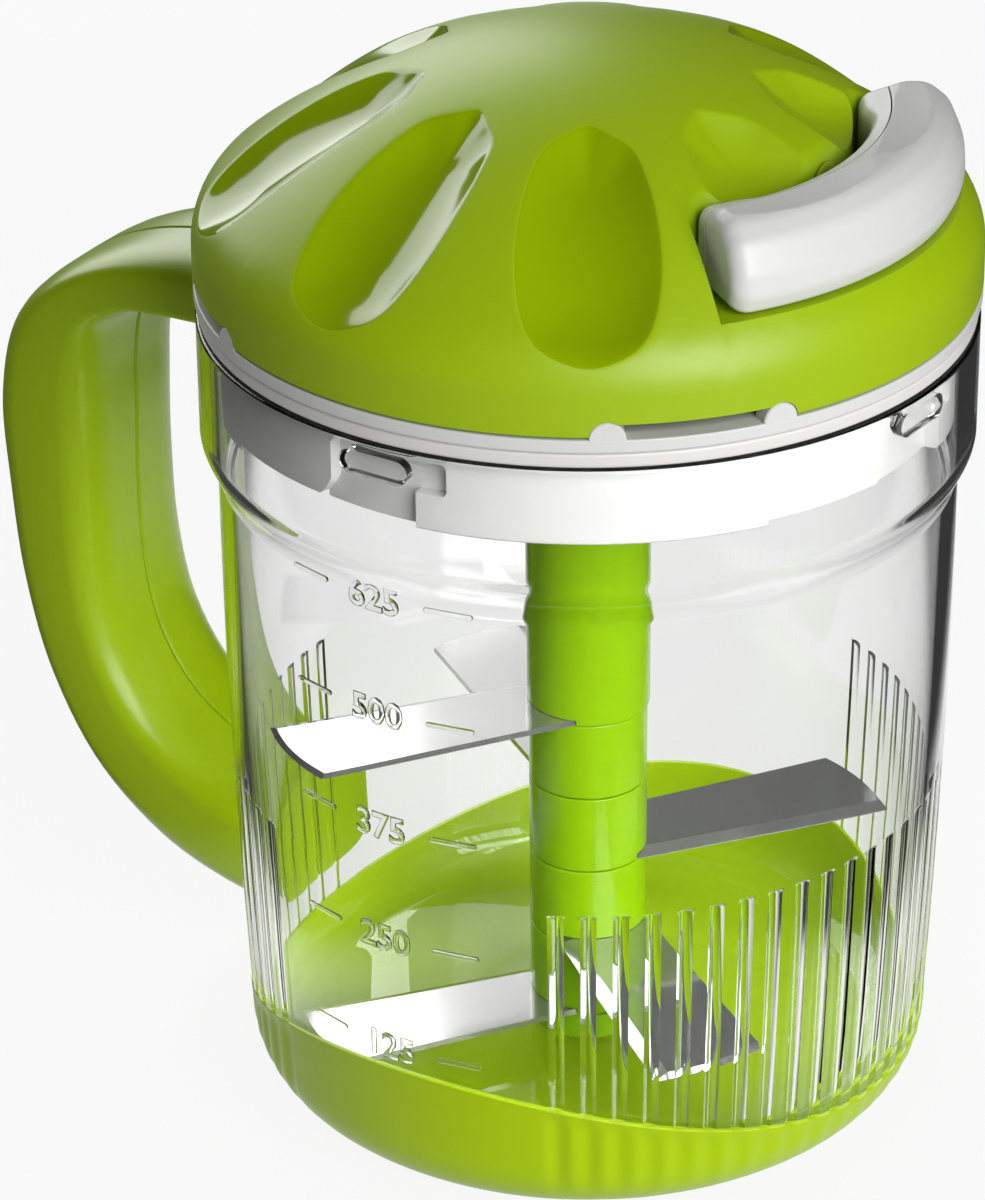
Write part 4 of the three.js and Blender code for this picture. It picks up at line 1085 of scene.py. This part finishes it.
# The short cord between the dome's eyelet and the grip's knot, drawn out as the grip is pulled.
def buildCordLead():
    start, end, radius, height = cord["leadFrom"], cord["leadTo"], cord["radius"], cord["height"]
    turns = [math.pi * i / 8 for i in range(16)]
    circle = [(radius * math.cos(turn), height + radius * math.sin(turn)) for turn in turns]
    places = [start + (end - start) * i / 40 for i in range(41)]
    piece = makeObject("cord_lead_out", loftRings([[(x, y, z) for y, z in circle] for x in places]), None)
    dress(piece, cordFabric)
    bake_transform(piece)
    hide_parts("cord_lead")


buildGrip()
buildCordLead()
print("grip done")


# Blade stack on the spindle

stack = {
    "radius": 8.5, "columnRadius": 8.85, "count": 5, "pitch": 12, "lowest": 9.6, "thickness": 0.9, "gap": 0.1,
    "sleeve": 7.2, "slot": 57, "slotInset": 0.3, "slotOuter": 10, "slotDrop": 3, "seam": 0.2, "round": 0.25,
    "bore": 2.7, "boreTop": 76, "foot": 5.5, "shoulder": 91.6, "neck": 5.5, "end": 105.6,
    "topAngle": 232, "step": -90,
}
blade = {
    "tip": 45.6, "lowTip": 43.0, "slant": 2.3, "bulge": 0.9, "tipWidth": 16.4, "hubWidth": 13.6,
    "hubRadius": 6.9, "hubFlat": 0.5, "grind": 1.9, "grindBack": 0.25, "edge": 0.12,
}
dogs = {"angles": (0, 120, 240), "half": 12, "inner": 3, "outer": 8.3, "foot": 90.6, "top": 105.4}


def bladeHeight(index):
    return stack["lowest"] + (stack["count"] - 1 - index) * stack["pitch"]


def bladeAngle(index):
    return stack["topAngle"] + stack["step"] * index


# The blade's outline with its cutting side set back by the grind, from the hub out round the tip.
def bladeOutline(index, grind):
    tip = blade["lowTip"] if index == stack["count"] - 1 else blade["tip"]
    lead, trail = grind - blade["tipWidth"] / 2, blade["tipWidth"] / 2
    reach = math.sqrt(tip ** 2 - trail ** 2) - grind * blade["grindBack"]
    halfHub = blade["hubWidth"] / 2
    hub = math.sqrt(blade["hubRadius"] ** 2 - halfHub ** 2)
    outline = [(hub + blade["hubFlat"], grind - halfHub), (reach, lead)]
    for i in range(1, 17):
        share = i / 16
        bulge = 4 * share * (1 - share) * blade["bulge"]
        outline.append((reach - blade["slant"] * share + bulge, lead + (trail - lead) * share))
    outline.append((hub, halfHub))
    start = math.atan2(halfHub, hub)
    for i in range(1, 40):
        turn = start + (2 * math.pi - 2 * start) * i / 40
        outline.append((blade["hubRadius"] * math.cos(turn), blade["hubRadius"] * math.sin(turn)))
    return outline


# The blade's steel is brushed along its own length.
def buildBlade(index):
    full, ground = bladeOutline(index, 0), bladeOutline(index, blade["grind"])
    low, angle = bladeHeight(index), bladeAngle(index)
    high = low + stack["thickness"]
    layers = [(full, low), (full, low + blade["edge"]), (ground, high)]
    rings = [[(x, y, z) for x, y in outline] for outline, z in layers]
    piece = makeObject(f"blade_plate_{index + 1}", loftRings(rings), "spindle", 12)
    carve(piece, [cylinder(stack["bore"], low - 1, high + 1, 48)], smoothAngle=12)
    piece.data.transform(rotation(angle).to_4x4())
    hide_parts(f"blade_{index + 1}")
    dress(piece, newMaterial("blade_steel", f"blade_steel_{index + 1}", -math.radians(angle)))


# The opening in a ring's sleeve where the blade below it comes out.
def bladeSlot(low, angle):
    inner, outer, slot = stack["sleeve"] - stack["slotInset"], stack["slotOuter"], stack["slot"]
    return sectorBlock(inner, outer, low - stack["slotDrop"], low + 0.01, angle - slot, angle + slot, 24)


# The corners under a ring that stands at low and reaches down round the blade below it.
def sleeveCorners(low, inner):
    foot = low - stack["thickness"] - 2 * stack["gap"] + stack["seam"]
    return [(inner, low, 0), (stack["sleeve"], low, 0), (stack["sleeve"], foot, 0)], foot


def spindleRing(name, corners, foot, high, node, cutters):
    radius, soft = stack["radius"], stack["round"]
    outline = corners + [(radius, foot, soft), (radius, high, soft), (stack["bore"], high, 0)]
    piece = makeObject(name, spinOutline(rounded(outline, 4), 128), "spindle")
    if cutters:
        carve(piece, cutters)
    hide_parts(node)
    dress(piece, spindleGreen)


def buildColumn():
    low = bladeHeight(0) + stack["thickness"] + stack["gap"]
    corners, foot = sleeveCorners(low, 0)
    radius, shoulder, neck, end = [stack[key] for key in ("columnRadius", "shoulder", "neck", "end")]
    outline = rounded(corners + [
        (radius, foot, stack["round"]), (radius, shoulder, 1.0), (neck, shoulder, 0.5), (neck, end, 0.6),
        (0, end)], 5, False)
    piece = makeObject("spindle_column", spinOutline(outline, 128, False), "spindle")
    inner, outer, dogFoot, dogTop, half = [dogs[key] for key in ("inner", "outer", "foot", "top", "half")]
    spans = [(angle - half, angle + half) for angle in dogs["angles"]]
    blocks = [sectorBlock(inner, outer, dogFoot, dogTop, first, last, 4) for first, last in spans]
    carve(piece, [merged(blocks)], "UNION")
    carve(piece, [cylinder(stack["bore"], low - 1, stack["boreTop"], 32), bladeSlot(low, bladeAngle(0))])
    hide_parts("spindle_top")
    dress(piece, spindleGreen)


def buildSpindle():
    gap, bore = stack["gap"], stack["bore"]
    for i in range(1, stack["count"]):
        low, high = bladeHeight(i) + stack["thickness"] + gap, bladeHeight(i - 1) - gap
        corners, foot = sleeveCorners(low, bore)
        slot = bladeSlot(low, bladeAngle(i))
        spindleRing(f"spindle_ring_{i}", corners, foot, high, f"spacer_{i}", [slot])
    foot = stack["foot"]
    spindleRing("spindle_ring_foot", [(bore, foot, 0)], foot, stack["lowest"] - gap, "spindle_foot", [])
    buildColumn()


buildSpindle()
for bladeIndex in range(stack["count"]):
    buildBlade(bladeIndex)
print("blades done")


# Broad faces decide the shading beside narrow ones
leftAlone = [*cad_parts, "cord_lead_out"]
for piece in [o for o in bpy.data.objects if o.type == "MESH" and o.name not in leftAlone]:
    modifier = piece.modifiers.new("soft shading", "WEIGHTED_NORMAL")
    modifier.keep_sharp = True


# Floor, light and camera

studio = {
    "floorSize": 4, "floorDrop": 0.0003, "floorLift": 0.9, "world": 0.08, "mirrored": 0.03,
    "paper": (0.08, 0.097), "paperFront": (0.04, 0.065), "paintedStudioShade": (0.03, 0.03, 0.03),
    "distance": 0.6305, "height": 0.4035, "azimuth": 30.0, "pitch": 27.67, "lens": 151.02, "shift": -0.0797,
    "lampDistance": 1.2, "lampAim": 0.08,
}
# Name, azimuth and elevation in degrees, width and height in metres, power in watts
lamps = [
    ("key", -119, 26, (1.0, 0.69), 8.2), ("key edge", -145.5, 27, (0.15, 0.69), 0.45),
    ("strip", 61, 24, (0.85, 0.85), 15.5),
]


# A math node's output; each of the two values is a socket or a number.
def mathNode(nodes, links, operation, first, second=0.0):
    node = nodes.new("ShaderNodeMath")
    node.operation = operation
    for socket, value in zip(node.inputs, (first, second)):
        if isinstance(value, (int, float)):
            socket.default_value = value
        else:
            links.new(value, socket)
    return node.outputs[0]


# One for what is mirrored or seen through something clear.
def sharpRays(nodes, links, path):
    glossy, seenThrough = path.outputs["Is Glossy Ray"], path.outputs["Is Transmission Ray"]
    return mathNode(nodes, links, "MAXIMUM", glossy, seenThrough)


# A share that falls from one to nothing as the place's part along a direction grows from near to far.
def fallAlong(nodes, links, source, direction, near, far, absolute=False):
    part = nodes.new("ShaderNodeVectorMath")
    part.operation = "DOT_PRODUCT"
    part.inputs[1].default_value = direction
    links.new(source, part.inputs[0])
    size = mathNode(nodes, links, "ABSOLUTE" if absolute else "ADD", part.outputs["Value"])
    fall = nodes.new("ShaderNodeMapRange")
    fall.interpolation_type = "SMOOTHSTEP"
    fall.inputs["From Min"].default_value = near
    fall.inputs["From Max"].default_value = far
    fall.inputs["To Min"].default_value = 1
    fall.inputs["To Max"].default_value = 0
    links.new(size, fall.inputs["Value"])
    return fall.outputs["Result"]


# Across the view and towards the camera, level
viewTurn = math.radians(studio["azimuth"])
acrossView = (math.cos(viewTurn), math.sin(viewTurn), 0)
towardsView = (math.sin(viewTurn), -math.cos(viewTurn), 0)


# Pale floor, white to the camera. What mirrors it or shows it through clear plastic sees a strip of white
# paper across which the camera looks, and beside it painted shade, a near-black floor for those rays only.
def buildFloor():
    bm = bmesh.new()
    bmesh.ops.create_grid(bm, x_segments=1, y_segments=1, size=studio["floorSize"])
    mesh = bpy.data.meshes.new("floor")
    bm.to_mesh(mesh)
    bm.free()
    floor = linkedObject("floor", mesh)
    floor.location.z = -studio["floorDrop"]
    material = newMaterial("floor_matte")
    nodes, links = material.node_tree.nodes, material.node_tree.links
    shader = nodes["Principled BSDF"]
    place = nodes.new("ShaderNodeTexCoord").outputs["Object"]
    path = nodes.new("ShaderNodeLightPath")
    side = fallAlong(nodes, links, place, acrossView, *studio["paper"], absolute=True)
    front = fallAlong(nodes, links, place, towardsView, *studio["paperFront"])
    notMirrored = mathNode(nodes, links, "SUBTRACT", 1, path.outputs["Is Glossy Ray"])
    paper = mathNode(nodes, links, "MULTIPLY", side, mathNode(nodes, links, "MAXIMUM", front, notMirrored))
    sharp = sharpRays(nodes, links, path)
    others = mathNode(nodes, links, "SUBTRACT", 1, sharp)
    # Painted shade: off the paper, mirrored and seen-through rays get a near-black floor colour in place of
    # the floor's own
    tone = nodes.new("ShaderNodeMix")
    tone.data_type = "RGBA"
    tone.inputs[6].default_value = (*studio["paintedStudioShade"], 1)
    tone.inputs[7].default_value = (*finishes["floor_matte"]["color"], 1)
    links.new(mathNode(nodes, links, "MAXIMUM", paper, others), tone.inputs[0])
    links.new(tone.outputs[2], shader.inputs["Base Color"])
    seenPaper = mathNode(nodes, links, "MULTIPLY", sharp, paper)
    seen = mathNode(nodes, links, "MAXIMUM", path.outputs["Is Camera Ray"], seenPaper)
    lift = nodes.new("ShaderNodeEmission")
    mix = nodes.new("ShaderNodeMixShader")
    links.new(mathNode(nodes, links, "MULTIPLY", seen, studio["floorLift"]), mix.inputs["Fac"])
    links.new(shader.outputs["BSDF"], mix.inputs[1])
    links.new(lift.outputs["Emission"], mix.inputs[2])
    links.new(mix.outputs["Shader"], nodes["Material Output"].inputs["Surface"])
    floor.data.materials.append(material)


# White to the camera, plain and weak to everything else.
def buildWorld():
    world = bpy.data.worlds.new("studio")
    bpy.context.scene.world = world
    world.use_nodes = True
    nodes, links = world.node_tree.nodes, world.node_tree.links
    background = nodes["Background"]
    background.inputs["Color"].default_value = (1, 1, 1, 1)
    path = nodes.new("ShaderNodeLightPath")
    seen = path.outputs["Is Camera Ray"]
    unseen = mathNode(nodes, links, "SUBTRACT", 1, seen)
    strength = nodes.new("ShaderNodeMapRange")
    strength.inputs["To Min"].default_value = studio["world"]
    strength.inputs["To Max"].default_value = studio["mirrored"]
    links.new(sharpRays(nodes, links, path), strength.inputs["Value"])
    rest = mathNode(nodes, links, "MULTIPLY", strength.outputs["Result"], unseen)
    links.new(mathNode(nodes, links, "ADD", seen, rest), background.inputs["Strength"])


# Level direction away from the object at an azimuth, tilted up by an elevation.
def awayFrom(azimuth, elevation):
    a, e = math.radians(azimuth), math.radians(elevation)
    return Vector((math.sin(a) * math.cos(e), -math.cos(a) * math.cos(e), math.sin(e)))


def addLamp(name, azimuth, elevation, size, power):
    data = bpy.data.lights.new(name, "AREA")
    data.shape = "RECTANGLE"
    data.size, data.size_y = size
    data.energy = power
    lamp = linkedObject(name, data)
    away = awayFrom(azimuth, elevation)
    lamp.location = away * studio["lampDistance"] + Vector((0, 0, studio["lampAim"]))
    lamp.rotation_euler = (-away).to_track_quat("-Z", "Y").to_euler()


def buildCamera():
    data = bpy.data.cameras.new("camera")
    data.lens = studio["lens"]
    data.sensor_width = 36
    data.shift_x = studio["shift"]
    data.clip_start = 0.01
    data.clip_end = 50
    camera = linkedObject("camera", data)
    bpy.context.scene.camera = camera
    camera.location = awayFrom(studio["azimuth"], 0) * studio["distance"] + Vector((0, 0, studio["height"]))
    ahead = -awayFrom(studio["azimuth"], studio["pitch"])
    camera.rotation_euler = ahead.to_track_quat("-Z", "Y").to_euler()


buildFloor()
buildWorld()
for lamp in lamps:
    addLamp(*lamp)
buildCamera()
bpy.context.scene.view_settings.view_transform = "Standard"
print("stage done")
